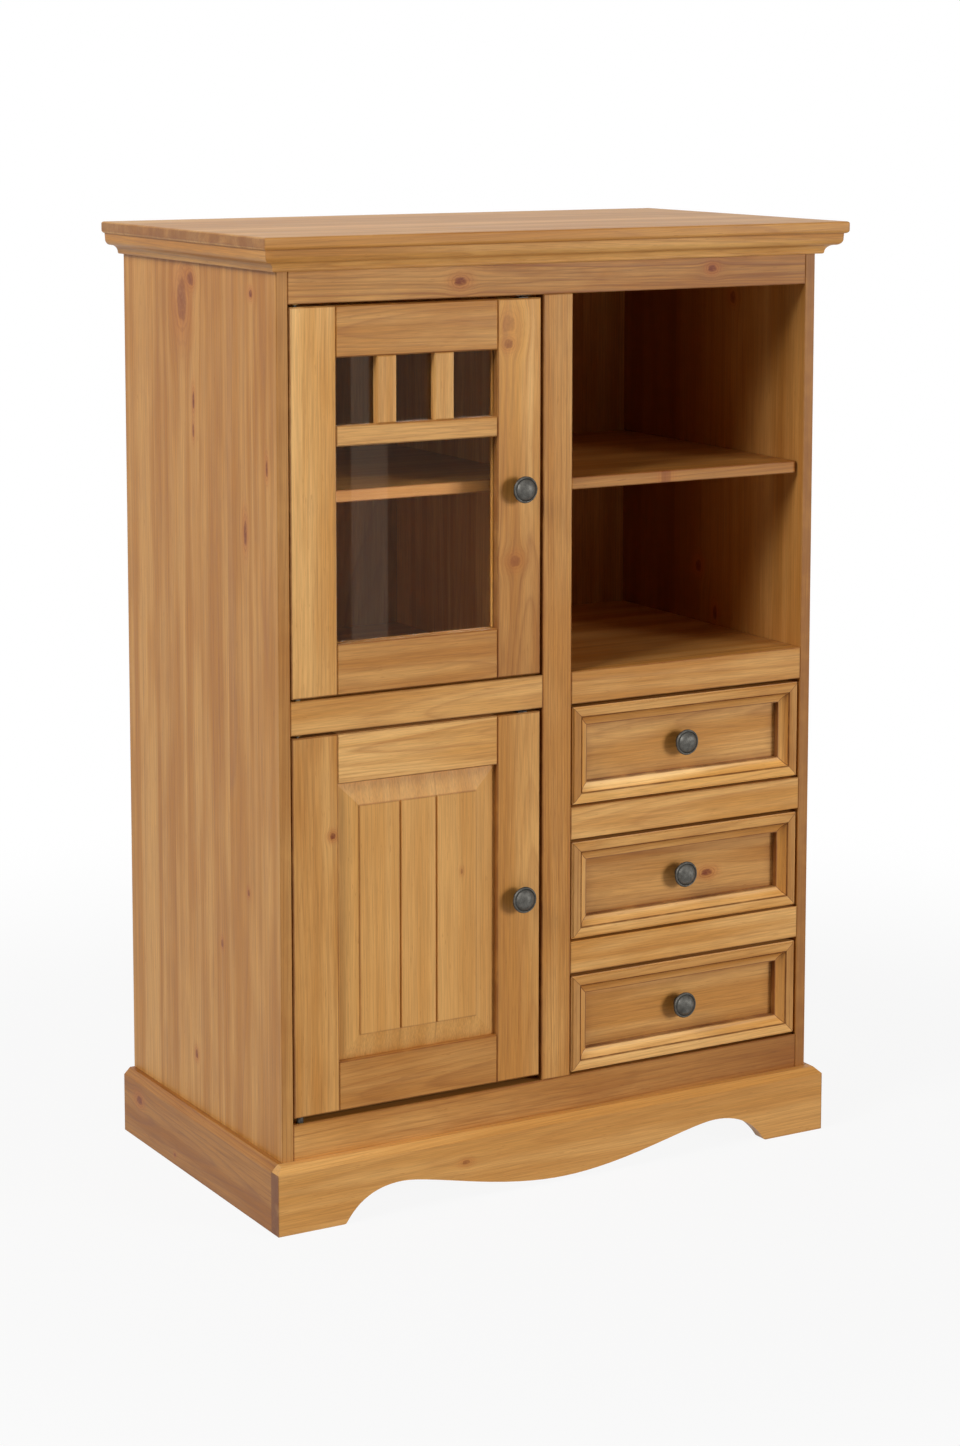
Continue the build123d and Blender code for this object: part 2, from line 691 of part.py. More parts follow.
for drawer_name, rail_top in zip(drawer_names, rail_tops):
    drawer = f"{drawer_name}_drawer"
    low = rail_top + drawer_gap_bottom
    centre = (drawer_left + drawer_right) / 2, low + drawer_height / 2

    place = Pos(centre[0], face_y, centre[1])
    lengths = (sill, sill.rotate(Axis.Y, 180), upright.rotate(Axis.Y, 90), upright.rotate(Axis.Y, -90))
    pieces[f"{drawer}_moulding"] = Compound(children=[place * length for length in lengths])

    with BuildPart() as drawer_front:
        inset = moulding_width - drawer_panel_lap
        with BuildSketch(front(drawer_recess)):
            span(drawer_left + inset, drawer_right - inset, low + inset, low + drawer_height - inset)
        extrude(amount=-drawer_panel)
        with Locations(Plane((centre[0], face_y + drawer_recess, centre[1]), z_dir=(0, -1, 0))):
            Hole(screw_radius, drawer_panel)
    pieces[f"{drawer}_front"] = drawer_front.part

    side_z = rail_top + runner_play
    box_front = face_y + moulding_depth
    box_back = back_face_y - drawer_back_gap
    bottom_z = side_z + drawer_bottom_rise
    box_solids = []
    for x0, groove in ((drawer_left, drawer_left + drawer_side_thickness - drawer_bottom_groove),
                       (drawer_right - drawer_side_thickness, drawer_right - drawer_side_thickness)):
        with BuildPart() as drawer_side:
            with BuildSketch(Plane.XY.offset(side_z)):
                span(x0, x0 + drawer_side_thickness, box_front, box_back)
            extrude(amount=drawer_side_height)
            with BuildSketch(Plane.XY.offset(bottom_z)):
                span(groove, groove + drawer_bottom_groove, box_front, box_back)
            extrude(amount=drawer_bottom_thickness, mode=Mode.SUBTRACT)
        box_solids.append(drawer_side.part)
    with BuildPart() as drawer_back:
        with BuildSketch(Plane.XY.offset(bottom_z + drawer_bottom_thickness)):
            span(drawer_left + drawer_side_thickness, drawer_right - drawer_side_thickness,
                 box_back - drawer_side_thickness, box_back)
        extrude(amount=drawer_side_height - drawer_bottom_rise - drawer_bottom_thickness - drawer_back_drop)
    pieces[f"{drawer}_box"] = Compound(children=[*box_solids, drawer_back.part])

    with BuildPart() as drawer_bottom:
        reach = drawer_side_thickness - drawer_bottom_groove
        with BuildSketch(Plane.XY.offset(bottom_z)):
            span(drawer_left + reach, drawer_right - reach, box_front, box_back)
        extrude(amount=drawer_bottom_thickness)
    pieces[f"{drawer}_bottom"] = drawer_bottom.part

    knob(drawer, centre[0], centre[1], drawer_recess, drawer_panel)

# ================================================================ write every piece
for name, piece in pieces.items():
    piece.label = name
    export_step(piece, f"parts/{name}.step")
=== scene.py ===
"""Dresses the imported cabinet: waxed pine, clear glass, pewter knobs and small steel and brass fittings."""

import json
import logging
import math
import random
from dataclasses import dataclass, field, replace
from enum import Enum
from functools import reduce
from typing import Optional, Sequence, Union

import bmesh
import bpy
from mathutils import Matrix, Vector
from mathutils.geometry import interpolate_bezier

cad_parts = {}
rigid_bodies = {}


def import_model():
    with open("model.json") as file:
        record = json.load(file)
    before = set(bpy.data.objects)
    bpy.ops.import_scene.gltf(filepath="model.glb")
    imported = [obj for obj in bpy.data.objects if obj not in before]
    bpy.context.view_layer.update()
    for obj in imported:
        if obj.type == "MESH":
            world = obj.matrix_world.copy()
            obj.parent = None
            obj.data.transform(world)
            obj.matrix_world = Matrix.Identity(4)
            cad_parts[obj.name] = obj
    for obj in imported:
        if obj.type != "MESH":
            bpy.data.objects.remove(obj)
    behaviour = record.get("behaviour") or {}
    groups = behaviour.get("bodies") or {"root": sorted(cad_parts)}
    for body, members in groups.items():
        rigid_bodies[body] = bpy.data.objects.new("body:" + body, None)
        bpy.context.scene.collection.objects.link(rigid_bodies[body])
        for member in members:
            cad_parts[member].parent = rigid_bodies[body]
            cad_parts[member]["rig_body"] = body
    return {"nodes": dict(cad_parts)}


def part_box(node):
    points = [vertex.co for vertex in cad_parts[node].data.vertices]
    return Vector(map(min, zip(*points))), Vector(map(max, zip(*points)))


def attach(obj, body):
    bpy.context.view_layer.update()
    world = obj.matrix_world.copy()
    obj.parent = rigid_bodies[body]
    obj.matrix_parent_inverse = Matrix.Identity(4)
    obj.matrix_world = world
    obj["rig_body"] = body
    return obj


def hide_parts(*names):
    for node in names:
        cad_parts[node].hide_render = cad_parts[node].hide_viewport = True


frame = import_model()
log = logging.getLogger("cabinet")

Socket = bpy.types.NodeSocket
Value = Union[Socket, float, Sequence[float]]
Place = tuple[float, float]
Point = tuple[float, float, float]

FACE_Y = -0.2145
"""Where the faces of the doors and rails are, in metres."""
BACK_Y = 0.2485
"""Where the back panel's outer face is."""
WHITE = (1.0, 1.0, 1.0, 1.0)


def paint(red: int, green: int, blue: int) -> tuple[float, float, float, float]:
    """A display colour of 0 to 255 as the linear colour and alpha that a shader takes."""
    linear = []
    for part in (red, green, blue):
        share = part / 255
        linear.append(share / 12.92 if share <= 0.04045 else ((share + 0.055) / 1.055) ** 2.4)
    return (linear[0], linear[1], linear[2], 1.0)


# ---------------------------------------------------------------- node graphs
class Graph:
    """Wires the nodes of one material or one node group."""

    def __init__(self, tree: bpy.types.NodeTree) -> None:
        """Keeps the tree that the nodes go into."""
        self.tree = tree

    def feed(self, socket: Socket, value: Value) -> None:
        """Links a socket to another one, or sets its value."""
        if isinstance(value, bpy.types.NodeSocket):
            self.tree.links.new(value, socket)
        else:
            socket.default_value = value

    def add(self, kind: str, inputs: Optional[dict] = None, **settings: object) -> bpy.types.Node:
        """Adds a node with values or sockets for its inputs, by name or index, and its settings."""
        node = self.tree.nodes.new(kind)
        for name, value in settings.items():
            setattr(node, name, value)
        for key, value in (inputs or {}).items():
            self.feed(node.inputs[key], value)
        return node

    def math(self, operation: str, *values: Value) -> Socket:
        """The result of a sum on numbers."""
        node = self.add("ShaderNodeMath", operation=operation)
        for socket, value in zip(node.inputs, values):
            self.feed(socket, value)
        return node.outputs[0]

    def times(self, first: Value, second: Value) -> Socket:
        """The product of two numbers."""
        return self.math("MULTIPLY", first, second)

    def minus(self, first: Value, second: Value) -> Socket:
        """The first number less the second."""
        return self.math("SUBTRACT", first, second)

    def madd(self, value: Value, factor: Value, rest: Value) -> Socket:
        """A number times a factor, plus the rest."""
        return self.math("MULTIPLY_ADD", value, factor, rest)

    def most(self, first: Value, second: Value) -> Socket:
        """The greater of two numbers."""
        return self.math("MAXIMUM", first, second)

    def vector(self, operation: str, *values: Value) -> Socket:
        """The vector that a sum on vectors gives."""
        node = self.add("ShaderNodeVectorMath", operation=operation)
        for socket, value in zip(node.inputs, values):
            self.feed(socket, value)
        return node.outputs["Vector"]

    def length(self, vector: Value) -> Socket:
        """The length of a vector."""
        node = self.add("ShaderNodeVectorMath", {0: vector}, operation="LENGTH")
        return node.outputs["Value"]

    def parts(self, vector: Value) -> tuple[Socket, Socket, Socket]:
        """The three numbers of a vector."""
        node = self.add("ShaderNodeSeparateXYZ", {0: vector})
        return node.outputs[0], node.outputs[1], node.outputs[2]

    def join(self, x: Value, y: Value, z: Value) -> Socket:
        """A vector from three numbers."""
        return self.add("ShaderNodeCombineXYZ", {0: x, 1: y, 2: z}).outputs[0]

    def slope(self, value: Value, low: float, high: float, start: float = 0.0, end: float = 1.0) -> Socket:
        """A smooth step from start, at low, to end, at high."""
        inputs = {"Value": value, "From Min": low, "From Max": high, "To Min": start, "To Max": end}
        return self.add("ShaderNodeMapRange", inputs, interpolation_type="SMOOTHSTEP").outputs["Result"]

    def mix(self, share: Value, first: Value, second: Value, blend: str = "MIX") -> Socket:
        """A mix of two colours."""
        node = self.add("ShaderNodeMix", {0: share, 6: first, 7: second}, data_type="RGBA", blend_type=blend)
        return node.outputs[2]

    def layered(self, colour: Value, layers: Sequence[tuple[Value, tuple[int, int, int]]]) -> Value:
        """A colour with shares of display colours laid over it, one after another."""
        for share, over in layers:
            colour = self.mix(share, colour, paint(*over))
        return colour

    def choose(self, share: Value, first: Value, second: Value) -> Socket:
        """A mix of two vectors."""
        node = self.add("ShaderNodeMix", {0: share, 4: first, 5: second}, data_type="VECTOR")
        return node.outputs[1]

    def noise(self, vector: Value, detail: float = 2.0, roughness: float = 0.5) -> Socket:
        """Noise of 0 to 1, with a grain of one unit of the vector."""
        inputs = {"Vector": vector, "Scale": 1.0, "Detail": detail, "Roughness": roughness}
        return self.add("ShaderNodeTexNoise", inputs).outputs["Fac"]

    def jitter(self, vector: Value, detail: float = 2.0, roughness: float = 0.5) -> Socket:
        """A random vector about zero, with a grain of one unit of the vector."""
        inputs = {"Vector": vector, "Scale": 1.0, "Detail": detail, "Roughness": roughness}
        colour = self.add("ShaderNodeTexNoise", inputs).outputs["Color"]
        return self.vector("SUBTRACT", colour, (0.5, 0.5, 0.5))

    def curve(self, value: Value, stops: Sequence[tuple[float, float]], steps: bool = False) -> Socket:
        """A number looked up, by its place of 0 to 1, on a line or a staircase through stops."""
        node = self.add("ShaderNodeValToRGB", {0: value})
        node.color_ramp.interpolation = "CONSTANT" if steps else "LINEAR"
        elements = node.color_ramp.elements
        while len(elements) < len(stops):
            elements.new(0.5)
        for element, (place, number) in zip(elements, stops):
            element.position = place
            element.color = (number, number, number, 1.0)
        return node.outputs["Color"]

    def coat(self, colour: Value, rough: Value, bump: bpy.types.Node, **uniform: float) -> Socket:
        """A surface with a colour, a roughness and relief, and uniform values by socket name."""
        inputs = {"Base Color": colour, "Roughness": rough, "Normal": bump.outputs[0]}
        shader = self.add("ShaderNodeBsdfPrincipled", inputs)
        for name, value in uniform.items():
            shader.inputs[name.replace("_", " ")].default_value = value
        return shader.outputs[0]

    def show(self, surface: Socket, kind: str = "ShaderNodeOutputMaterial") -> None:
        """Ends the tree with an output that shows a surface."""
        self.add(kind, {"Surface": surface})


def open_material(name: str) -> tuple[bpy.types.Material, Graph]:
    """Starts an empty material and its graph."""
    material = bpy.data.materials.new(name)
    material.use_nodes = True
    material.node_tree.nodes.clear()
    return material, Graph(material.node_tree)


def open_group(name: str, inputs: dict[str, str], outputs: dict[str, str]) -> tuple[Graph, dict, dict]:
    """Starts a node group.

    Args:
        name: The group's name.
        inputs: Its inputs' names and socket types.
        outputs: Its outputs' names and socket types.

    Returns:
        Its graph, the sockets that bring its inputs in, and the sockets that take its outputs.
    """
    tree = bpy.data.node_groups.new(name, "ShaderNodeTree")
    for sockets, side in ((inputs, "INPUT"), (outputs, "OUTPUT")):
        for label, kind in sockets.items():
            tree.interface.new_socket(label, in_out=side, socket_type=f"NodeSocket{kind}")
    graph = Graph(tree)
    entry = graph.add("NodeGroupInput")
    way_out = graph.add("NodeGroupOutput")
    return graph, {n: entry.outputs[n] for n in inputs}, {n: way_out.inputs[n] for n in outputs}


GRAIN_NOISES = {
    "Fibre": (780.0, 11.0, 2.0, 0.6),
    "Streak": (190.0, 1.5, 3.0, 0.6),
    "Band": (46.0, 0.9, 1.0, 0.5),
    "Cloud": (13.0, 4.5, 2.0, 0.5),
    "Blush": (19.0, 6.0, 3.0, 0.6),
}
"""Grains per metre across and along the log, detail and roughness of each noise."""
YEAR = ((0.0, 0.25), (0.16, 0.02), (0.45, 0.12), (0.76, 0.55), (0.90, 1.0), (1.0, 0.25))
"""How dark a ring is from spring, 0, to the next spring, 1."""

SWAY = (0.022, 0.022, 0.0)
"""How far a log wanders from side to side, in metres."""
WOBBLE = (0.0016, 0.0016, 0.0)
"""How far its rings waver."""
GROWTH = 70.0
"""Changes of the rings' width per metre of the log's radius."""
LEAD = 2.2
"""How many rings such a change adds or takes."""
FAINT = 0.35
"""How strong the faintest ring is."""


def grain_group() -> bpy.types.NodeTree:
    """The growth rings, fibres and stains of a log, whose pith runs along Z through the origin.

    Returns:
        A node group with the shares of a point in rings, fibres, streaks, bands, clouds, blush and flecks.
    """
    graph, given, out = open_group(
        "pine_grain",
        {"Vector": "Vector", "Spacing": "Float", "Seed": "Float"},
        {name: "Float" for name in ("Ring", "Fibre", "Streak", "Band", "Cloud", "Blush", "Fleck")},
    )
    seed = graph.vector("MULTIPLY", graph.join(given["Seed"], given["Seed"], given["Seed"]), (17.3, 5.1, 9.7))

    def stretched(across: float, along: float) -> Socket:
        """The point, squeezed along the grain and moved by the seed."""
        return graph.vector("MULTIPLY_ADD", given["Vector"], (across, across, along), seed)

    sway = graph.jitter(stretched(7.0, 1.5))
    wobble = graph.jitter(stretched(42.0, 7.0), 1.0)
    swayed = graph.vector("MULTIPLY_ADD", sway, SWAY, given["Vector"])
    swayed = graph.vector("MULTIPLY_ADD", wobble, WOBBLE, swayed)
    x, y, _ = graph.parts(swayed)
    radius = graph.length(graph.join(x, y, 0.0))
    growth = graph.noise(graph.join(graph.times(radius, GROWTH), given["Seed"], 0.0), 1.0)
    count = graph.math("DIVIDE", radius, given["Spacing"])
    count = graph.madd(growth, LEAD, count)
    ring = graph.curve(graph.math("FRACT", count), YEAR)
    year = graph.add("ShaderNodeTexWhiteNoise", {"W": graph.math("FLOOR", count)}, noise_dimensions="1D")
    strength = graph.madd(year.outputs["Value"], 1.0 - FAINT, FAINT)
    graph.feed(out["Ring"], graph.times(ring, strength))
    for name, (across, along, detail, roughness) in GRAIN_NOISES.items():
        graph.feed(out[name], graph.noise(stretched(across, along), detail, roughness))
    fleck = graph.noise(stretched(620.0, 55.0), 1.0)
    graph.feed(out["Fleck"], graph.slope(fleck, 0.68, 0.76))
    return graph.tree


RAGGED = (0.95, 0.0, 0.95)
"""How ragged a knot's outline is, in its own half sizes."""
PULL = -0.86
"""How far a knot draws the grain round itself."""
PULL_FADE = -0.21
"""How fast that fades away from the knot."""
HALO_FADE = -0.8
"""How fast its halo fades."""
RIPPLES = 11.0
"""How close the rings in its halo are."""
BLOTCHES = (420.0, 0.0, 160.0)
"""Blotches per metre in its core."""


def knot_group() -> bpy.types.NodeTree:
    """One knot: it pushes the grain aside and marks its core, its rings and the dark halo round it.

    Returns:
        A node group that passes the point and the marks of earlier knots on.
    """
    graph, given, out = open_group(
        "pine_knot",
        {"Vector": "Vector", "Marks": "Vector", "Centre": "Vector", "Size": "Vector", "Depth": "Float"},
        {"Vector": "Vector", "Marks": "Vector"},
    )
    away = graph.vector("SUBTRACT", given["Vector"], given["Centre"])
    scaled = graph.vector("DIVIDE", away, given["Size"])
    scaled = graph.vector("MULTIPLY_ADD", graph.jitter(scaled, 3.0, 0.6), RAGGED, scaled)
    distance = graph.length(scaled)
    pull = graph.math("EXPONENT", graph.times(graph.times(distance, distance), PULL_FADE))
    push = graph.join(graph.times(pull, PULL), 0.0, 0.0)
    graph.feed(out["Vector"], graph.vector("MULTIPLY_ADD", away, push, given["Vector"]))
    blotch = graph.noise(graph.vector("MULTIPLY", away, BLOTCHES))
    blotched = graph.slope(blotch, 0.3, 0.6, 0.6, 1.0)
    core = graph.times(graph.slope(distance, 0.45, 1.10, 1.0, 0.0), blotched)
    core = graph.times(core, given["Depth"])
    beyond = graph.most(graph.minus(distance, 0.9), 0.0)
    halo = graph.math("EXPONENT", graph.times(graph.times(beyond, beyond), HALO_FADE))
    halo = graph.times(halo, given["Depth"])
    wave = graph.math("SINE", graph.times(distance, RIPPLES))
    ripple = graph.times(graph.slope(wave, 0.1, 0.95), halo)
    graph.feed(out["Marks"], graph.vector("MAXIMUM", given["Marks"], graph.join(core, halo, ripple)))
    return graph.tree


def edge_group() -> bpy.types.NodeTree:
    """How far a point on a board's surface is from the board's nearest edge.

    Returns:
        A node group from the point and the board's half sizes, both from its centre, to the distance.
    """
    given_types = {"Vector": "Vector", "Half": "Vector"}
    graph, given, out = open_group("board_edge", given_types, {"Distance": "Float"})
    room = graph.vector("SUBTRACT", given["Half"], graph.vector("ABSOLUTE", given["Vector"]))
    a, b, c = graph.parts(room)
    middle = graph.math("MINIMUM", graph.most(a, b), c)
    graph.feed(out["Distance"], graph.most(graph.math("MINIMUM", a, b), middle))
    return graph.tree


GRAIN = grain_group()
KNOT = knot_group()
EDGE = edge_group()


# ---------------------------------------------------------------- boards
class Run(Enum):
    """The way a board's grain runs, as the order of its across, through and along axes."""

    WIDE = (2, 1, 0)
    WIDE_FLAT = (1, 2, 0)
    DEEP = (2, 0, 1)
    TALL = (0, 1, 2)
    TALL_SIDE = (1, 0, 2)


class Cut(Enum):
    """How a board was sawn, as the pith's place across and behind its face, in metres."""

    PLAIN = (0.012, 0.045)
    RIFT = (0.075, 0.085)
    QUARTER = (0.190, 0.020)


@dataclass(frozen=True)
class Knot:
    """A knot, by its place in the cabinet's frame and its half width and height, in metres."""

    place: Point
    wide: float
    tall: float
    depth: float = 1.0


@dataclass(frozen=True)
class Ring:
    """A rectangle in the front plane that grooves or mitred lengths follow, and where painted shade inside it
    starts, in metres.
    """

    centre: tuple[float, float]
    half: tuple[float, float]
    lines: tuple[float, ...] = ()
    painted_shade_from: float = 0.0


@dataclass(frozen=True)
class Board:
    """How one wooden node is sawn, glued up and marked.

    Attributes:
        run: The way its grain runs.
        cut: Where the pith was.
        staves: How many strips it is glued up from.
        knots: Its knots.
        tone: How light it is, 1 in the finish's own colours.
        figure: How strong its rings, streaks and blush are.
        spacing: The width of a year's ring, in metres.
        lean: How far the log leans from it, as a slope.
        wax: The share of dark wax along its edges.
        ring: A rectangle that lines or mitred lengths follow.
        mitred: Whether it is four mitred lengths in place of one board.
        lengths: The tones of its left, right, foot and head lengths.
        grooves: Where its upright grooves are, across the cabinet.
        line_wax: The share of wax in the ring's lines.
        groove_wax: The share of wax in the grooves.
        end: The share of wax on its end grain.
        sides: The share of painted shade, in the wax's colour, on its narrow faces.
        painted_recess_shade: The share of painted shade, in the wax's colour, inside the ring, where the
            moulding shades the face.
        painted_light_falloff: How much its tone changes from its middle to its far end: painted light falloff
            along the board.
        painted_back_shade: The share of its tone that its inner face loses towards the back: painted shade
            inside the cabinet.
        contrast: How far its light and its dark wood are apart.
    """

    run: Run
    cut: Cut = Cut.RIFT
    staves: int = 1
    knots: tuple[Knot, ...] = ()
    tone: float = 1.0
    figure: float = 1.0
    spacing: float = 0.0046
    lean: float = 0.03
    wax: float = 0.55
    ring: Optional[Ring] = None
    mitred: bool = False
    lengths: tuple[float, float, float, float] = (1.0, 1.0, 1.0, 1.0)
    grooves: tuple[float, ...] = ()
    line_wax: float = 0.7
    groove_wax: float = 0.22
    end: float = 0.42
    sides: float = 0.0
    painted_recess_shade: float = 0.0
    painted_light_falloff: float = 0.0
    painted_back_shade: float = 0.0
    contrast: float = 1.0


MIDDLE_AT = (0.38, 0.62)
BLUSH_AT = (0.50, 0.72)
STREAK_AT = (0.46, 0.72)
FIBRE_AT = (0.32, 0.68)
"""Where in its noise each mark of the wood begins, and where it is full."""
FIBRE_TONES = (0.89, 1.07)
"""The tones of the darkest and the lightest fibres."""
TONE_POWERS = (1.0, 1.43, 2.1)
"""How red, green and blue follow a board's tone: darker boards are deeper in colour."""
STAVE_SPREAD = 0.16
"""How far the tones of a board's staves are apart."""
STAVE_SHIFT = (0.13, 0.05, 2.6)
"""How far the staves come from one another in the log: across, through and along, in metres."""
EDGE_WAX = (0.0003, 0.0026)
"""How far from a board's edges its wax is full, and where it ends, in metres."""
FACE_WAX = (0.0002, 0.0006)
# The same from the ends of a board, whose end grain wax covers, and from its narrow faces, which take painted
# shade.
"""The same from the ends and narrow faces of a board, which wax covers."""
WAX_PATCHES = (38.0, 38.0, 38.0)
"""Patches per metre in the wax."""
THIN_WAX = 0.55
"""The share of wax that is left between its patches."""
RELIEF = 0.30
"""How strong the wood's relief is."""
LINE_WIDTH = 0.0017
"""How wide the wax in a groove is, in metres."""
MITRE_WIDTH = 0.0011
"""How wide the wax in a mitre is, in metres."""
MITRE_WAX = 0.7
"""The share of wax in a mitre."""
PAINTED_SHADE_WIDTH = 0.020
# How far the painted shade inside a moulding reaches, in metres.
"""How far the shade inside a moulding reaches, in metres."""


@dataclass(frozen=True)
class Shares:
    """How strong each mark of the wood shows, from 0 to 1."""

    blush: float = 0.40
    streak: float = 0.28
    ring: float = 0.42
    fleck: float = 0.34
    halo: float = 0.45
    ripple: float = 0.26
    core: float = 0.94


@dataclass(frozen=True)
class PineFinish:
    """Pine under one finish.

    Attributes:
        name: The finish's name.
        light: Its lightest wood.
        middle: Its common wood.
        blush: Its warm patches.
        late: Its late wood, in the rings.
        stain: Its streaks and flecks.
        knot: The cores and rings of knots.
        halo: The wood round knots.
        wax: Wax held in edges, joints and grooves; also the colour of painted shade on narrow faces and
            inside mouldings.
        roughness: How rough it is.
        gloss: How strong its gloss is.
        shares: How strong each mark shows, from 0 to 1.
    """

    name: str
    light: tuple[int, int, int] = (216, 161, 91)
    middle: tuple[int, int, int] = (191, 130, 58)
    blush: tuple[int, int, int] = (186, 126, 60)
    late: tuple[int, int, int] = (155, 93, 36)
    stain: tuple[int, int, int] = (153, 94, 38)
    knot: tuple[int, int, int] = (116, 46, 8)
    halo: tuple[int, int, int] = (182, 98, 34)
    wax: tuple[int, int, int] = (98, 42, 12)
    roughness: float = 0.46
    gloss: float = 0.30
    shares: Shares = Shares()

    def dress(self, node: str, board: Board) -> None:
        """Gives a wooden node its material."""
        material, graph = open_material(f"{self.name}_{node}")
        Wood(graph, self, board, node).build()
        set_material(frame["nodes"][node], material)
        log.info("dressed %s as %s", node, self.name)


class Wood:
    """Builds the wood of one node.

    Attributes:
        graph: The material's graph.
        finish: The finish of the wood.
        board: How it is sawn and marked.
        dice: The node's own random numbers, which its name seeds.
        centre: The middle of the node's box, in the cabinet's frame.
        half: Half the box's sizes across, through and along the board.
        point: The point in the cabinet's frame.
        local: The point in the board's axes.
        side: On mitred lengths, 1 on the upright ones and 0 on the level ones; otherwise None.
    """

    def __init__(self, graph: Graph, finish: PineFinish, board: Board, node: str) -> None:
        """Measures the node and sets up its axes."""
        self.graph, self.finish, self.board = graph, finish, board
        self.dice = random.Random(node)
        low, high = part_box(node)
        sizes = (high - low) / 2
        self.centre = tuple((low + high) / 2)
        self.half = tuple(sizes[axis] for axis in board.run.value)
        self.point = graph.add("ShaderNodeTexCoord").outputs["Object"]
        self.local = self.space(board.run)
        self.side: Optional[Socket] = None
        if board.mitred:
            upright, level = self.ring_place()
            self.side = graph.math("LESS_THAN", upright, level)
            self.local = graph.choose(self.side, self.local, self.space(Run.TALL))

    def space(self, run: Run) -> Socket:
        """The point in a board's own axes: across, through and along, from its centre."""
        axes = self.graph.parts(self.graph.vector("SUBTRACT", self.point, self.centre))
        return self.graph.join(*(axes[axis] for axis in run.value))

    def ring_place(self) -> tuple[Socket, Socket]:
        """How far the point is inside the ring's upright sides, and inside its level ones."""
        graph, ring = self.graph, self.board.ring
        x, _, z = graph.parts(self.point)
        rooms = []
        for axis, centre, half in ((x, ring.centre[0], ring.half[0]), (z, ring.centre[1], ring.half[1])):
            offset = graph.math("ABSOLUTE", graph.minus(axis, centre))
            rooms.append(graph.minus(half, offset))
        return rooms[0], rooms[1]

    def knotted(self) -> tuple[Socket, Value]:
        """Sets the knots: the point pushed aside by them, and their cores, halos and ripples."""
        local, marks = self.local, (0.0, 0.0, 0.0)
        for knot in self.board.knots:
            away = Vector(knot.place) - Vector(self.centre)
            inputs = {
                "Vector": local,
                "Marks": marks,
                "Centre": [away[axis] for axis in self.board.run.value],
                "Size": (knot.wide, 10.0, knot.tall),
                "Depth": knot.depth,
            }
            group = self.graph.add("ShaderNodeGroup", inputs, node_tree=KNOT)
            local, marks = group.outputs["Vector"], group.outputs["Marks"]
        return local, marks

    def staved(self, local: Socket) -> tuple[Socket, Value]:
        """Moves each stave of a glued-up board to its own place in the log.

        Args:
            local: The point in the board's axes, after its knots.

        Returns:
            The moved point, and the wood's tone there.
        """
        graph, board = self.graph, self.board
        if board.staves == 1:
            return local, board.tone
        joints = [0.0]
        for index in range(1, board.staves):
            joints.append((index + self.dice.uniform(-0.22, 0.22)) / board.staves)
        stops = [(place, self.dice.uniform(0.02, 0.98)) for place in joints]
        across, _, _ = graph.parts(local)
        share = graph.madd(across, 0.5 / self.half[0], 0.5)
        stave = graph.curve(share, stops, steps=True)
        shuffled = graph.add("ShaderNodeTexWhiteNoise", {"W": stave}, noise_dimensions="1D").outputs["Color"]
        moved = graph.vector("MULTIPLY_ADD", shuffled, STAVE_SHIFT, local)
        tone = graph.madd(stave, STAVE_SPREAD, board.tone - STAVE_SPREAD / 2)
        return moved, tone

    def length_tone(self) -> Socket:
        """The tone of the mitred length that the point is on."""
        graph, board = self.graph, self.board
        left, right, foot, head = board.lengths
        x, _, z = graph.parts(self.point)
        beyond = graph.math("GREATER_THAN", x, board.ring.centre[0])
        upright = graph.madd(beyond, right - left, left)
        above = graph.math("GREATER_THAN", z, board.ring.centre[1])
        level = graph.madd(above, head - foot, foot)
        difference = graph.minus(upright, level)
        return graph.times(graph.madd(self.side, difference, level), board.tone)

    def painted_light_falloff(self) -> Socket:
        """The painted light falloff along the board, and the painted shade towards the back on the inside of
        a right side.
        """
        graph, board = self.graph, self.board
        across, through, along = graph.parts(self.local)
        painted_light_falloff = graph.madd(along, board.painted_light_falloff / self.half[2], 1.0)
        if not board.painted_back_shade:
            return painted_light_falloff
        # Painted shade: the inner face grows darker towards the back of the cabinet.
        inside = graph.math("LESS_THAN", through, 0.0)
        lost = graph.slope(across, -self.half[0] * 0.9, self.half[0] * 0.5, 0.0, board.painted_back_shade)
        return graph.times(painted_light_falloff, graph.minus(1.0, graph.times(inside, lost)))

    def grown(self, local: Socket) -> bpy.types.NodeOutputs:
        """Puts the board into its log, off the pith and leaning a little.

        Args:
            local: The point in the board's axes, after its knots and staves.

        Returns:
            What the grain group finds there.
        """
        graph, board, dice = self.graph, self.board, self.dice
        across, behind = board.cut.value
        pith = (
            across * dice.choice((-1, 1)) + dice.uniform(-0.01, 0.01),
            behind + dice.uniform(-0.012, 0.012),
            dice.uniform(0, 4),
        )
        lean = (dice.uniform(-0.4, 0.4) * board.lean, board.lean * dice.choice((-1, 1)), 0.0)
        _, _, along = graph.parts(local)
        in_log = graph.vector("ADD", local, pith)
        inputs = {
            "Vector": graph.vector("MULTIPLY_ADD", graph.join(along, along, along), lean, in_log),
            "Spacing": board.spacing * dice.uniform(0.9, 1.12),
            "Seed": dice.uniform(0, 6),
        }
        return graph.add("ShaderNodeGroup", inputs, node_tree=GRAIN).outputs

    def line(self, distance: Socket, width: float, share: float) -> Socket:
        """A mark with its full share at a distance of nothing, and gone at width."""
        near = self.graph.math("ABSOLUTE", distance)
        return self.graph.times(self.graph.slope(near, width * 0.35, width, 1.0, 0.0), share)

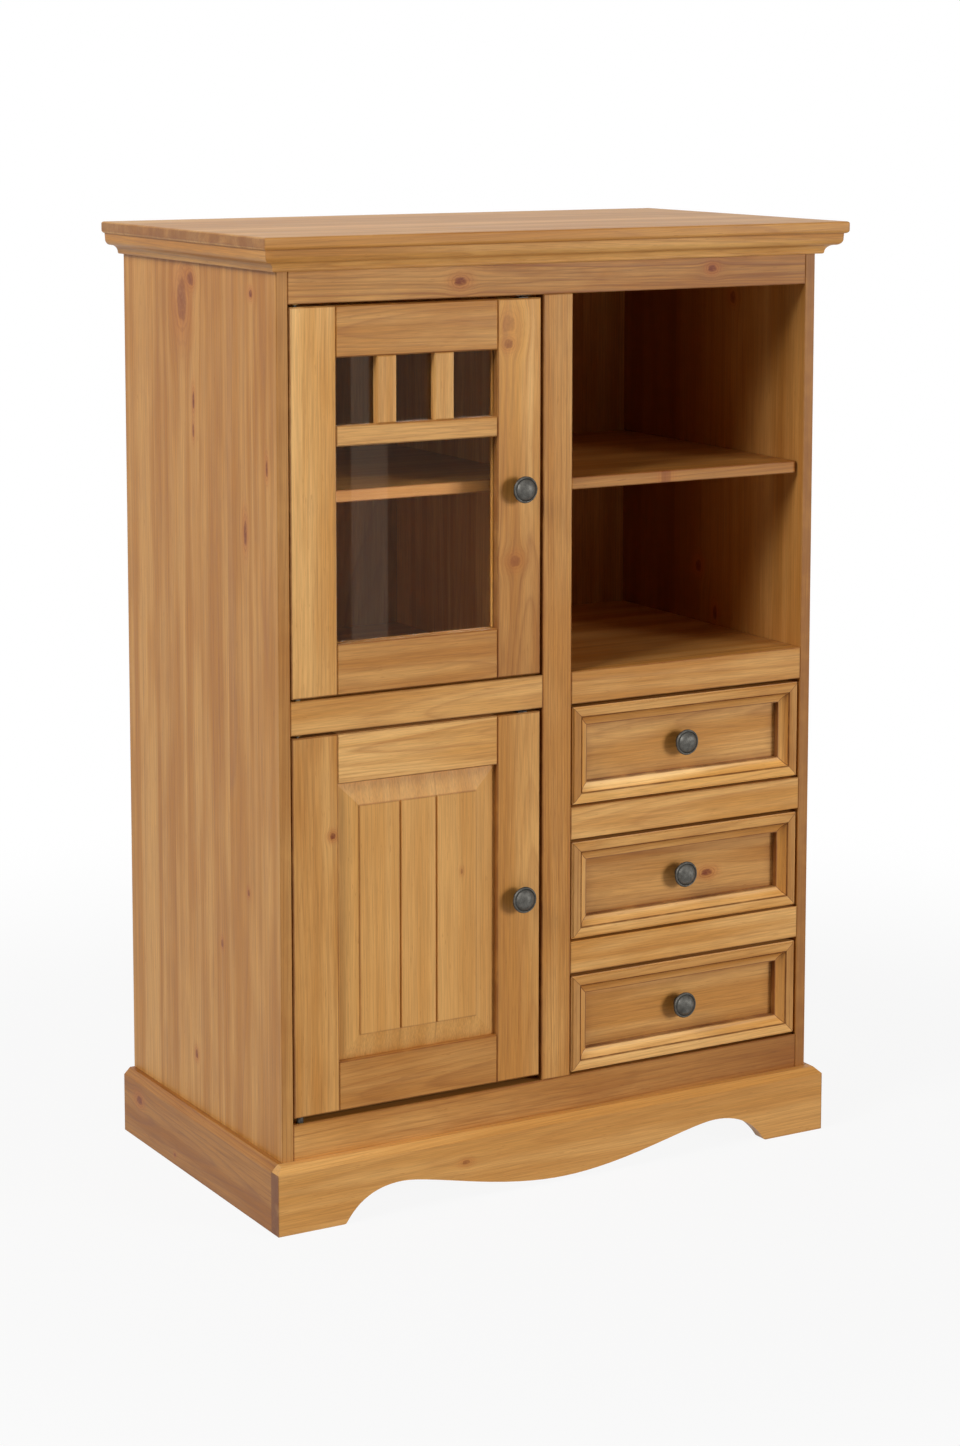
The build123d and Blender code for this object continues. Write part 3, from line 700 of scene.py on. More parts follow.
    def waxed(self) -> Socket:
        """The share of dark wax that the point holds along edges, grooves and mitres, with painted shade on
        narrow faces and inside mouldings.
        """
        graph, board = self.graph, self.board
        room = graph.add("ShaderNodeGroup", {"Vector": self.local, "Half": self.half}, node_tree=EDGE)
        wax_and_shade = [graph.slope(room.outputs["Distance"], *EDGE_WAX, board.wax, 0.0)]
        if not board.mitred:
            across, _, along = graph.parts(self.local)
            # Wax on the end grain, and painted shade on the narrow faces.
            for axis, reach, share in ((along, self.half[2], board.end), (across, self.half[0], board.sides)):
                face = graph.minus(reach, graph.math("ABSOLUTE", axis))
                wax_and_shade.append(graph.slope(face, *FACE_WAX, share, 0.0))
        if board.ring:
            upright, level = self.ring_place()
            inside = graph.math("MINIMUM", upright, level)
            for place in board.ring.lines:
                wax_and_shade.append(self.line(graph.minus(inside, place), LINE_WIDTH, board.line_wax))
            # Painted shade inside the moulding, in the wax's colour, fading away from it.
            start = board.ring.painted_shade_from
            wax_and_shade.append(graph.slope(inside, start, start + PAINTED_SHADE_WIDTH, board.painted_recess_shade, 0.0))
            if board.mitred:
                wax_and_shade.append(self.line(graph.minus(upright, level), MITRE_WIDTH, MITRE_WAX))
        x, _, _ = graph.parts(self.point)
        for place in board.grooves:
            wax_and_shade.append(self.line(graph.minus(x, place), LINE_WIDTH, board.groove_wax))
        patchy = graph.noise(graph.vector("MULTIPLY", self.point, WAX_PATCHES))
        return graph.times(reduce(graph.most, wax_and_shade), graph.slope(patchy, 0.2, 0.6, THIN_WAX, 1.0))

    def build(self) -> None:
        """Colours the wood and gives it its gloss and relief."""
        graph, board, finish = self.graph, self.board, self.finish
        local, marks = self.knotted()
        local, tone = self.staved(local)
        if board.mitred:
            tone = self.length_tone()
        found = self.grown(local)
        # Painted light falloff along the board scales its tone, lighter at one end and darker at the other.
        tone = graph.times(tone, self.painted_light_falloff())
        shares = finish.shares
        broad = graph.madd(found["Cloud"], 0.4, graph.times(found["Band"], 0.6))
        spread = 0.5 * board.contrast
        middle = graph.slope(broad, *MIDDLE_AT, 0.5 - spread, 0.5 + spread)
        blush = graph.slope(found["Blush"], *BLUSH_AT, 0.0, min(0.8, shares.blush * board.figure))
        streak = graph.slope(found["Streak"], *STREAK_AT, 0.0, shares.streak * board.figure)
        ring = graph.times(found["Ring"], shares.ring * board.figure)
        layers = ((middle, finish.middle), (blush, finish.blush), (streak, finish.stain), (ring, finish.late))
        colour = graph.layered(paint(*finish.light), layers)
        fibre = graph.slope(found["Fibre"], *FIBRE_AT, *FIBRE_TONES)
        colour = graph.mix(1.0, colour, graph.join(fibre, fibre, fibre), "MULTIPLY")
        colour = graph.mix(graph.times(found["Fleck"], shares.fleck), colour, paint(*finish.stain))
        depth = [graph.math("POWER", tone, power) for power in TONE_POWERS]
        colour = graph.mix(1.0, colour, graph.join(*depth), "MULTIPLY")
        relief = graph.madd(found["Ring"], 0.5, graph.times(found["Fibre"], 0.35))
        if board.knots:
            core, halo, ripple = graph.parts(marks)
            halo, ripple = graph.times(halo, shares.halo), graph.times(ripple, shares.ripple)
            dark = graph.times(core, shares.core)
            layers = ((halo, finish.halo), (ripple, finish.knot), (dark, finish.knot))
            colour = graph.layered(colour, layers)
            relief = graph.madd(core, 0.4, relief)
        # Dark wax in edges and joints, and painted shade, both in the wax's colour.
        colour = graph.mix(self.waxed(), colour, paint(*finish.wax))
        rough = graph.madd(found["Fibre"], 0.16, finish.roughness - 0.08)
        rough = graph.madd(found["Ring"], -0.06, rough)
        bump = graph.add("ShaderNodeBump", {"Strength": RELIEF, "Distance": 0.0005, "Height": relief})
        graph.show(graph.coat(colour, rough, bump, Specular_IOR_Level=finish.gloss))


# ---------------------------------------------------------------- metal and glass
def set_material(piece: bpy.types.Object, material: bpy.types.Material) -> None:
    """Puts a material on a piece's first slot, which it makes if there is none."""
    if not piece.material_slots:
        piece.data.materials.append(material)
    for place in piece.material_slots:
        place.material = material


@dataclass(frozen=True)
class MetalFinish:
    """A metal, bright where it is rubbed, and dark and rougher where dirt or patina stays."""

    name: str
    bright: tuple[int, int, int]
    dark: tuple[int, int, int]
    roughness: float
    grain: float
    relief: float = 0.15
    worn: bool = False
    coarse: float = 0.16
    rougher: float = 0.18

    def material(self) -> bpy.types.Material:
        """Builds the metal, whose patina follows the piece's own attribute where it has one."""
        material, graph = open_material(self.name)
        point = graph.add("ShaderNodeTexCoord").outputs["Object"]
        fine = graph.noise(graph.vector("MULTIPLY", point, (self.grain,) * 3), 3.0, 0.65)
        broad = graph.noise(graph.vector("MULTIPLY", point, (self.grain * self.coarse,) * 3))
        share = graph.madd(fine, 0.5, graph.times(broad, 0.5))
        share = graph.slope(share, 0.34, 0.66)
        if self.worn:
            patina = graph.add("ShaderNodeAttribute", attribute_name="patina").outputs["Fac"]
            share = graph.most(graph.times(share, 0.6), patina)
        colour = graph.mix(share, paint(*self.bright), paint(*self.dark))
        rough = graph.madd(share, self.rougher, self.roughness)
        bump = graph.add("ShaderNodeBump", {"Strength": self.relief, "Distance": 0.0003, "Height": fine})
        graph.show(graph.coat(colour, rough, bump, Metallic=1.0))
        return material


@dataclass(frozen=True)
class GlassFinish:
    """Clear float glass, with a trace of finger marks."""

    tint: tuple[int, int, int] = (250, 250, 247)
    bend: float = 1.5
    marks: Point = (9.0, 9.0, 9.0)
    mark_roughness: float = 0.05

    def material(self) -> bpy.types.Material:
        """Builds the glass, which lets the lamps' light through."""
        material, graph = open_material("clear_glass")
        point = graph.add("ShaderNodeTexCoord").outputs["Object"]
        marks = graph.noise(graph.vector("MULTIPLY", point, self.marks), 3.0, 0.6)
        rough = graph.slope(marks, 0.45, 0.8, 0.0, self.mark_roughness)
        inputs = {"Base Color": paint(*self.tint), "Roughness": rough}
        shader = graph.add("ShaderNodeBsdfPrincipled", inputs)
        shader.inputs["Transmission Weight"].default_value = 1.0
        shader.inputs["IOR"].default_value = self.bend
        through = graph.add("ShaderNodeBsdfTransparent", {"Color": paint(*self.tint)})
        shadow = graph.add("ShaderNodeLightPath").outputs["Is Shadow Ray"]
        inputs = {0: shadow, 1: shader.outputs[0], 2: through.outputs[0]}
        graph.show(graph.add("ShaderNodeMixShader", inputs).outputs[0])
        return material


WAXED = PineFinish("waxed_pine")
BARE = PineFinish(
    "bare_pine",
    light=(222, 184, 130),
    middle=(206, 162, 104),
    blush=(208, 160, 102),
    late=(170, 120, 66),
    wax=(120, 80, 42),
    roughness=0.60,
    gloss=0.25,
)
PEWTER = MetalFinish("old_pewter", (104, 102, 97), (42, 41, 38), 0.48, 900.0, worn=True)
STEEL = MetalFinish("zinc_steel", (196, 196, 192), (150, 150, 146), 0.40, 1300.0, 0.08)
DARK_STEEL = MetalFinish("dull_steel", (96, 94, 90), (52, 49, 45), 0.50, 1300.0, 0.08)
BRASS = MetalFinish("old_brass", (142, 108, 58), (84, 62, 34), 0.45, 1300.0, 0.08)


# ---------------------------------------------------------------- turned and driven pieces
SHARP = math.radians(38)
"""Edges that turn further than this look sharp."""


def placed(name: str, data: bpy.types.ID) -> bpy.types.Object:
    """Puts new data into the scene as an object."""
    thing = bpy.data.objects.new(name, data)
    bpy.context.scene.collection.objects.link(thing)
    return thing


def meshed(name: str, mesh: bmesh.types.BMesh) -> bpy.types.Object:
    """Puts a bmesh, which it frees, into the scene as an object."""
    data = bpy.data.meshes.new(name)
    mesh.to_mesh(data)
    mesh.free()
    return placed(name, data)


def finished(mesh: bmesh.types.BMesh, name: str, body: str, slot: str) -> bpy.types.Object:
    """Turns a bmesh into a piece that rides on a body.

    Args:
        mesh: The shape, in the cabinet's frame. It is freed.
        name: The piece's name.
        body: The CAD body that it moves with.
        slot: The key of its material in MATERIALS.

    Returns:
        The piece.
    """
    bmesh.ops.remove_doubles(mesh, verts=mesh.verts, dist=1e-6)
    bmesh.ops.recalc_face_normals(mesh, faces=mesh.faces)
    for face in mesh.faces:
        face.smooth = True
    for edge in mesh.edges:
        edge.smooth = len(edge.link_faces) == 2 and edge.calc_face_angle(0.0) < SHARP
    piece = meshed(name, mesh)
    set_material(piece, MATERIALS[slot])
    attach(piece, body)
    log.info("made %s on %s", name, body)
    return piece


def spin_profile(
    mesh: bmesh.types.BMesh, profile: Sequence[Place], seat: Point, way: float, steps: int
) -> None:
    """Turns a profile about the line through seat along Y.

    Args:
        mesh: Where the shape goes.
        profile: Radius and height over the seat, from the axis round to the axis.
        seat: The middle of the turned piece's foot.
        way: -1 to stand out to the front, 1 to the back.
        steps: Faces round the piece.
    """
    x, y, z = seat
    points = [mesh.verts.new((x + radius, y + way * height, z)) for radius, height in profile]
    edges = [mesh.edges.new(pair) for pair in zip(points, points[1:])]
    axis = Vector((0.0, 1.0, 0.0))
    about = {"cent": Vector(seat), "axis": axis, "angle": math.tau}
    bmesh.ops.spin(mesh, geom=points + edges, steps=steps, use_merge=True, **about)


def bend(*controls: Place, count: int) -> list[Place]:
    """The points of a curve over four control points, without its start."""
    start, first, second, end = (Vector(control) for control in controls)
    return [tuple(point) for point in interpolate_bezier(start, first, second, end, count)[1:]]


KNOB_FOOT = ((0.0004, 0.0), (0.0, 0.0004), (0.0, 0.0011), (0.0005, 0.0015))
"""Insets and heights of the edge of a knob's foot, in metres."""
KNOB_RIM = ((0.0004, 0.0004), (0.0, 0.0011), (0.0, 0.0026), (0.0003, 0.0034), (0.0010, 0.0041))
"""Insets and rises of the outer side of its rim."""
KNOB_GROOVE = ((-0.0005, 0.0045), (0.0, 0.0044), (0.0004, 0.0039), (0.0009, 0.0037), (0.0014, 0.0040))
"""Insets and rises of the groove inside its rim."""


@dataclass
class Knob:
    """A turned metal knob with a raised rim round a low dome, and the cross-head screw that holds it."""

    radius: float = 0.0175
    projection: float = 0.0240
    rim_back: float = 0.0135
    base_radius: float = 0.0085
    neck_radius: float = 0.0060
    bezel: float = 0.0022
    groove: float = 0.0009
    screw_head_radius: float = 0.0040
    screw_head: float = 0.0024
    cross: float = 0.52
    cross_arm: float = 0.24
    cross_waist: float = 0.42

    def profile(self) -> list[Place]:
        """Radius and height of the turned outline, from the foot's middle to the dome's."""
        inner = self.radius - self.bezel
        foot = [(0.0, 0.0)] + [(self.base_radius - inset, height) for inset, height in KNOB_FOOT]
        neck = bend(
            foot[-1],
            (self.neck_radius - 0.0016, 0.0046),
            (self.neck_radius + 0.0012, self.rim_back - 0.0022),
            (self.radius - 0.0012, self.rim_back),
            count=14,
        )
        rim = [(self.radius - inset, self.rim_back + rise) for inset, rise in KNOB_RIM]
        rim += [(inner - inset, self.rim_back + rise) for inset, rise in KNOB_GROOVE]
        dome = bend(
            rim[-1],
            (inner - 0.0034, self.rim_back + 0.0078),
            (0.0066, self.projection),
            (0.0, self.projection),
            count=13,
        )
        return [(max(radius, 0.0), height) for radius, height in foot + neck + rim + dome]

    def patina(self, radius: float, height: float) -> float:
        """How dark the patina is at a radius and height: full in the groove and behind the rim."""
        middle = self.radius - self.bezel - self.groove
        groove = max(0.0, 1.0 - abs(radius - middle) / self.groove)
        front = height > self.rim_back + 0.0030
        behind = max(0.0, 1.0 - height / self.rim_back)
        return min(1.0, groove if front else 0.25 + 0.6 * behind)

    def build(self, node: str, seat_y: float, wall: float) -> None:
        """Makes the knob and its screw in place of a knob node.

        Args:
            node: The CAD node that they stand for.
            seat_y: Where the knob's foot sits.
            wall: How thick the wood between knob and screw head is.
        """
        low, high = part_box(node)
        seat = ((low.x + high.x) / 2, seat_y, (low.z + high.z) / 2)
        body = frame["nodes"][node]["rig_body"]
        mesh = bmesh.new()
        spin_profile(mesh, self.profile(), seat, -1.0, 72)
        knob = finished(mesh, f"{node}_turned", body, "pewter")
        shade = knob.data.attributes.new("patina", "FLOAT", "POINT")
        for index, vertex in enumerate(knob.data.vertices):
            radius = math.hypot(vertex.co.x - seat[0], vertex.co.z - seat[2])
            shade.data[index].value = self.patina(radius, seat[1] - vertex.co.y)
        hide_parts(node)
        self.screw(node, (seat[0], seat_y + wall, seat[2]), body)

    def screw(self, node: str, seat: Point, body: str) -> None:
        """Makes the head of the knob's screw, with a cross cut in it.

        Args:
            node: The knob's node, which names the screw.
            seat: Where the head meets the wood.
            body: The body that it rides on.
        """
        radius, head = self.screw_head_radius, self.screw_head
        hollow = radius * self.cross
        arm = self.cross_arm * hollow
        mesh = bmesh.new()
        outline = [
            (0.0, 0.0),
            (radius, 0.0),
            (radius, head * 0.35),
            (radius * 0.90, head * 0.72),
            (radius * 0.70, head * 0.95),
            (hollow, head),
            (hollow * 0.8, head * 0.30),
            (0.0, head * 0.25),
        ]
        spin_profile(mesh, outline, seat, 1.0, 32)
        between = []
        for vertex in mesh.verts:
            across, up = vertex.co.x - seat[0], vertex.co.z - seat[2]
            if math.hypot(across, up) < hollow * 1.05 and abs(across * up) > arm**2:
                between.append(vertex)
        centred = Matrix.Translation(-Vector(seat))
        waist = (self.cross_waist, 1.0, self.cross_waist)
        bmesh.ops.scale(mesh, vec=waist, space=centred, verts=between)
        finished(mesh, f"{node}_screw", body, "steel")


@dataclass
class BackNails:
    """The small round-headed nails that hold the back panel to the sides, top and divider."""

    radius: float = 0.0024
    rise: float = 0.0006
    sunk: float = 0.0004
    inset: float = 0.0045
    foot_inset: float = 0.012
    head_inset: float = 0.008
    pitch: float = 0.138
    divider_x: float = 0.014

    def places(self) -> list[Place]:
        """Where the nails are, across and up."""
        low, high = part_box("back_panel")
        left, right = low.x + self.inset, high.x - self.inset
        bottom, top = low.z + self.foot_inset, high.z - self.head_inset
        wide, tall = right - left, top - bottom
        rows, columns = round(tall / self.pitch), round(wide / self.pitch)
        spots = []
        for x in (left, self.divider_x, right):
            spots += [(x, bottom + tall * row / rows) for row in range(rows + 1)]
        for z in (bottom, top):
            between = [column for column in range(1, columns) if column * 2 != columns]
            spots += [(left + wide * column / columns, z) for column in between]
        return spots

    def build(self) -> None:
        """Makes all the nail heads as one piece."""
        mesh = bmesh.new()
        outline = [
            (0.0, -self.sunk),
            (self.radius, -self.sunk),
            (self.radius, self.rise * 0.4),
            (self.radius * 0.6, self.rise),
            (0.0, self.rise),
        ]
        for x, z in self.places():
            spin_profile(mesh, outline, (x, BACK_Y, z), 1.0, 12)
        finished(mesh, "back_nails", "carcass", "steel")


MATERIALS = {
    "pewter": PEWTER.material(),
    "steel": STEEL.material(),
    "dark_steel": DARK_STEEL.material(),
    "brass": BRASS.material(),
    "glass": GlassFinish().material(),
}


# ---------------------------------------------------------------- sub-assemblies
def ring_of(node: str, lines: tuple[float, ...] = (), painted_shade_from: float = 0.0) -> Ring:
    """The rectangle round a node, seen from the front."""
    low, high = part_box(node)
    middle = ((low.x + high.x) / 2, (low.z + high.z) / 2)
    return Ring(middle, ((high.x - low.x) / 2, (high.z - low.z) / 2), lines, painted_shade_from)


def give(node: str, material: str) -> None:
    """Gives a node one of the shared materials."""
    set_material(frame["nodes"][node], MATERIALS[material])


@dataclass
class Carcass:
    """The fixed box: sides, top, cornice, rails, boards, shelves, back and plinth."""

    nails: BackNails = field(default_factory=BackNails)

    def boards(self) -> dict[str, Board]:
        """How each wooden node of the carcass is sawn and marked."""
        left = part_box("side_left")[0].x
        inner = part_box("side_right")[0].x
        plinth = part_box("plinth_left")[0].x
        side_knots = (
            Knot((left, 0.063, 1.176), 0.017, 0.032, 0.72),
            Knot((left, 0.046, 1.204), 0.011, 0.010, 0.85),
            Knot((left, -0.143, 1.195), 0.0055, 0.0055),
            Knot((left, 0.030, 1.046), 0.0036, 0.0130),
            Knot((left, 0.031, 1.006), 0.0030, 0.0100, 0.8),
            Knot((left, -0.185, 0.979), 0.0034, 0.0120, 0.9),
            Knot((left, -0.122, 0.890), 0.0055, 0.0180, 0.9),
            Knot((left, -0.123, 0.422), 0.0035, 0.005, 0.80),
            Knot((left, -0.042, 0.336), 0.004, 0.006, 0.70),
            Knot((left, 0.041, 0.164), 0.0045, 0.007, 0.85),
        )
        inside_knots = (
            Knot((inner, 0.038, 0.765), 0.009, 0.010),
            Knot((inner, -0.005, 0.703), 0.006, 0.012, 0.9),
            Knot((inner, -0.042, 1.157), 0.008, 0.010, 0.8),
        )
        rail_knots = (
            Knot((-0.146, FACE_Y, 1.2057), 0.0066, 0.0100),
            Knot((0.240, FACE_Y, 1.2107), 0.0056, 0.0076),
        )
        shelf_knots = (Knot((0.176, -0.2035, 0.936), 0.006, 0.009, 0.5),)
        plinth_knots = (Knot((-0.149, -0.2345, 0.0515), 0.0035, 0.0065, 0.6),)
        foot_knots = (
            Knot((plinth, 0.197, 0.057), 0.007, 0.010, 0.95),
            Knot((plinth, 0.081, 0.014), 0.0026, 0.003, 0.9),
        )
        side = Board(Run.TALL_SIDE, staves=6, spacing=0.0052, lean=0.012, wax=0.25)
        cornice = Board(Run.DEEP, tone=0.98, wax=0.2)
        flat = Board(Run.WIDE_FLAT, staves=4)
        plinth_board = Board(Run.WIDE, Cut.PLAIN, wax=0.25)
        front = replace(plinth_board, tone=1.10, painted_light_falloff=-0.05, figure=0.65, contrast=0.6, lean=0.02, end=0.85)
        plinth_side = replace(plinth_board, run=Run.DEEP)
        # A drift below paints light falloff along its board, lighter at one end and darker at the other.
        return {
            "side_left": replace(side, knots=side_knots, tone=0.96, figure=0.9, sides=0.16, painted_light_falloff=-0.07),
            # The right side's inner face is painted darker towards the back, as painted shade inside the
            # cabinet.
            "side_right": replace(
                side, knots=inside_knots, tone=0.95, figure=0.6, sides=0.42, painted_back_shade=0.62, contrast=0.7
            ),
            "divider": Board(Run.TALL_SIDE, staves=5, tone=1.06),
            "centre_post": Board(Run.TALL, Cut.QUARTER, tone=1.01, figure=1.5, sides=0.6),
            "top_board": Board(Run.WIDE_FLAT, staves=6, tone=1.05, wax=0.3, end=0.6, contrast=0.8),
            "cornice_front": Board(Run.WIDE, tone=1.06, wax=0.2),
            "cornice_left": cornice,
            "cornice_right": cornice,
            "top_rail": Board(Run.WIDE, knots=rail_knots, tone=0.87, painted_light_falloff=-0.16, figure=2.2),
            "middle_rail_left": Board(Run.WIDE, Cut.PLAIN, tone=1.12),
            "middle_rail_right": Board(Run.WIDE, tone=1.03),
            "drawer_rails": Board(Run.WIDE, tone=1.18),
            "bottom_rail": Board(Run.WIDE, tone=0.80, figure=1.3, painted_light_falloff=-0.34),
            # The middle boards, bottom board, shelves and back panel are set darker as painted shade inside
            # the cabinet.
            "middle_board_left": replace(flat, tone=0.88),
            "middle_board_right": replace(flat, tone=0.97),
            "bottom_board": replace(flat, tone=0.90),
            "shelf_left": replace(flat, tone=0.77),
            "shelf_right": replace(flat, knots=shelf_knots, tone=0.73),
            "back_panel": Board(Run.TALL, staves=8, tone=0.70),
            "plinth_front": replace(front, knots=plinth_knots),
            "plinth_left": replace(plinth_side, knots=foot_knots, tone=0.68, figure=1.4),
            "plinth_right": replace(plinth_side, tone=0.88),
            "drawer_runners": Board(Run.DEEP, Cut.QUARTER, wax=0.1),
        }

    def build(self) -> None:
        """Dresses the carcass and drives its nails."""
        for node, board in self.boards().items():
            finish = BARE if node == "drawer_runners" else WAXED
            finish.dress(node, board)
        give("shelf_pins", "steel")
        give("catch_strikes", "dark_steel")
        give("pivot_bushes", "brass")
        self.nails.build()


@dataclass
class Door:
    """What both doors share: two stiles, two rails, a knob, pivots and a catch."""

    name: str
    thickness: float = 0.020
    knob: Knob = field(default_factory=Knob)

    def frame_boards(self) -> dict[str, Board]:
        """How the stiles and rails are sawn."""
        # Stiles take painted shade on their narrow faces, beside the gaps.
        stile = Board(Run.TALL, wax=0.85, lean=0.02, sides=0.6)
        rail = Board(Run.WIDE, Cut.PLAIN, wax=0.85)
        return {
            "hinge_stile": stile,
            "lock_stile": replace(stile, cut=Cut.PLAIN),
            "top_rail": rail,
            "bottom_rail": rail,
        }

    def build(self) -> None:
        """Dresses the door and makes its knob."""
        for part, board in self.frame_boards().items():
            WAXED.dress(f"{self.name}_{part}", board)
        give(f"{self.name}_pivots", "dark_steel")
        give(f"{self.name}_catch", "dark_steel")
        self.knob.build(f"{self.name}_knob", FACE_Y, self.thickness)


@dataclass
class GlassDoor(Door):
    """The upper door: a pane behind a crossbar and two short muntins."""

    name: str = "glass_door"

    def frame_boards(self) -> dict[str, Board]:
        """The frame's boards, with the bars and beads."""
        boards = super().frame_boards()
        knots = (
            Knot((-0.0750, FACE_Y, 1.1234), 0.0078, 0.0068, 0.62),
            Knot((-0.0750, FACE_Y, 1.1500), 0.0110, 0.0120, 0.34),
            Knot((-0.0644, FACE_Y, 0.8398), 0.0090, 0.0082, 0.55),
        )
        lock = replace(boards["lock_stile"], knots=knots, tone=1.08, figure=1.4, lean=0.025, painted_light_falloff=0.32)
        boards["hinge_stile"] = replace(boards["hinge_stile"], tone=1.24, painted_light_falloff=0.10)
        boards["lock_stile"] = lock
        boards["top_rail"] = replace(boards["top_rail"], figure=1.4)
        boards["bottom_rail"] = replace(boards["bottom_rail"], tone=0.93)
        boards["crossbar"] = Board(Run.WIDE, wax=0.6, tone=1.08)
        boards["muntins"] = Board(Run.TALL, wax=0.2, tone=1.08)
        boards["beads"] = Board(Run.WIDE, wax=0.2, ring=ring_of("glass_door_beads"), mitred=True)
        return boards

    def build(self) -> None:
        """Dresses the door and glazes it."""
        super().build()
        give("glass_door_pane", "glass")


@dataclass
class PanelDoor(Door):
    """The lower door: a raised panel with two grooves in its field."""

    name: str = "panel_door"
    bevel: float = 0.031
    groove_spacing: float = 0.0532

    def frame_boards(self) -> dict[str, Board]:
        """The frame's boards and the panel."""
        boards = super().frame_boards()
        knots = (Knot((-0.3331, FACE_Y, 0.5069), 0.0046, 0.0048, 0.95),)
        boards["hinge_stile"] = replace(boards["hinge_stile"], knots=knots, tone=1.03)
        boards["lock_stile"] = replace(boards["lock_stile"], tone=1.04)
        boards["top_rail"] = replace(boards["top_rail"], tone=1.27, figure=1.3)
        boards["bottom_rail"] = replace(boards["bottom_rail"], tone=0.86)
        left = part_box(f"{self.name}_hinge_stile")[1].x
        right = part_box(f"{self.name}_lock_stile")[0].x
        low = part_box(f"{self.name}_bottom_rail")[1].z
        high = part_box(f"{self.name}_top_rail")[0].z
        middle = (left + right) / 2
        boards["raised_panel"] = Board(
            Run.TALL,
            Cut.QUARTER,
            knots=(Knot((-0.144, FACE_Y, 0.437), 0.0022, 0.004, 0.5),),
            tone=1.13,
            figure=0.4,
            contrast=0.5,
            spacing=0.0068,
            lean=0.012,
            wax=0.0,
            ring=Ring((middle, (low + high) / 2), ((right - left) / 2, (high - low) / 2), (0.0, self.bevel)),
            grooves=(middle - self.groove_spacing / 2, middle + self.groove_spacing / 2),
            line_wax=0.32,
            painted_recess_shade=0.14,
        )
        return boards


@dataclass
class Drawer:
    """A drawer: a flat front panel in a mitred moulding, on a plain box.

    Attributes:
        name: The drawer's name.
        knots: The knots in its front.
        cut: How its front was sawn.
        tone: How light its front is.
        foot: How light the lowest length of its moulding is: painted light, as that length faces up to the
            light.
        band: Where the moulding's flat band ends, from its outer edge, in metres.
        moulding: How wide the moulding is.
        recess: How far the front lies behind the doors' faces.
        wall: How thick the front is behind the knob.
        knob: Its knob.
    """

    name: str
    knots: tuple[Knot, ...] = ()
    cut: Cut = Cut.PLAIN
    tone: float = 1.10
    foot: float = 1.32
    band: float = 0.014
    moulding: float = 0.027
    recess: float = 0.017
    wall: float = 0.008
    knob: Knob = field(default_factory=Knob)

    def build(self) -> None:
        """Dresses the drawer and makes its knob."""
        ring = ring_of(f"{self.name}_moulding", (self.band, self.moulding), self.moulding)
        # The lowest length is painted lighter than the others, as painted light on a face turned up.
        tones = (1.10, 1.05, self.foot, 1.04)
        moulding = Board(Run.WIDE, wax=0.25, ring=ring, mitred=True, lengths=tones)
        WAXED.dress(f"{self.name}_moulding", moulding)
        # The front is painted darker just inside its moulding, as painted shade.
        front = Board(Run.WIDE, self.cut, knots=self.knots, tone=self.tone, ring=ring, wax=0.0, painted_recess_shade=0.26)
        WAXED.dress(f"{self.name}_front", front)
        BARE.dress(f"{self.name}_box", Board(Run.DEEP, wax=0.15))
        BARE.dress(f"{self.name}_bottom", Board(Run.WIDE_FLAT, Cut.PLAIN, staves=3, wax=0.1))
        self.knob.build(f"{self.name}_knob", FACE_Y + self.recess, self.wall)


# ---------------------------------------------------------------- studio
AIM = (0.0, 0.0, 0.62)
"""The middle of the cabinet."""


@dataclass(frozen=True)
class Lamp:
    """A square studio lamp, aimed at a point, that glossy surfaces may or may not mirror."""

    name: str
    place: Point
    size: float
    watts: float
    aim: Point = AIM
    gloss: bool = True

    def build(self) -> None:
        """Hangs the lamp."""
        data = bpy.data.lights.new(self.name, "AREA")
        data.shape = "SQUARE"
        data.size = self.size
        data.energy = self.watts
        lamp = placed(self.name, data)
        lamp.visible_camera = False
        lamp.visible_glossy = self.gloss
        lamp.location = self.place
        lamp.rotation_euler = (Vector(self.aim) - Vector(self.place)).to_track_quat("-Z", "Y").to_euler()


@dataclass(frozen=True)
class Glow:
    """A faint glowing card, upright and square to the front, that glass and glossy faces mirror."""

    name: str
    corners: tuple[Point, Point]
    strength: float
    colour: tuple[float, float, float, float] = (1.0, 0.75, 0.56, 1.0)


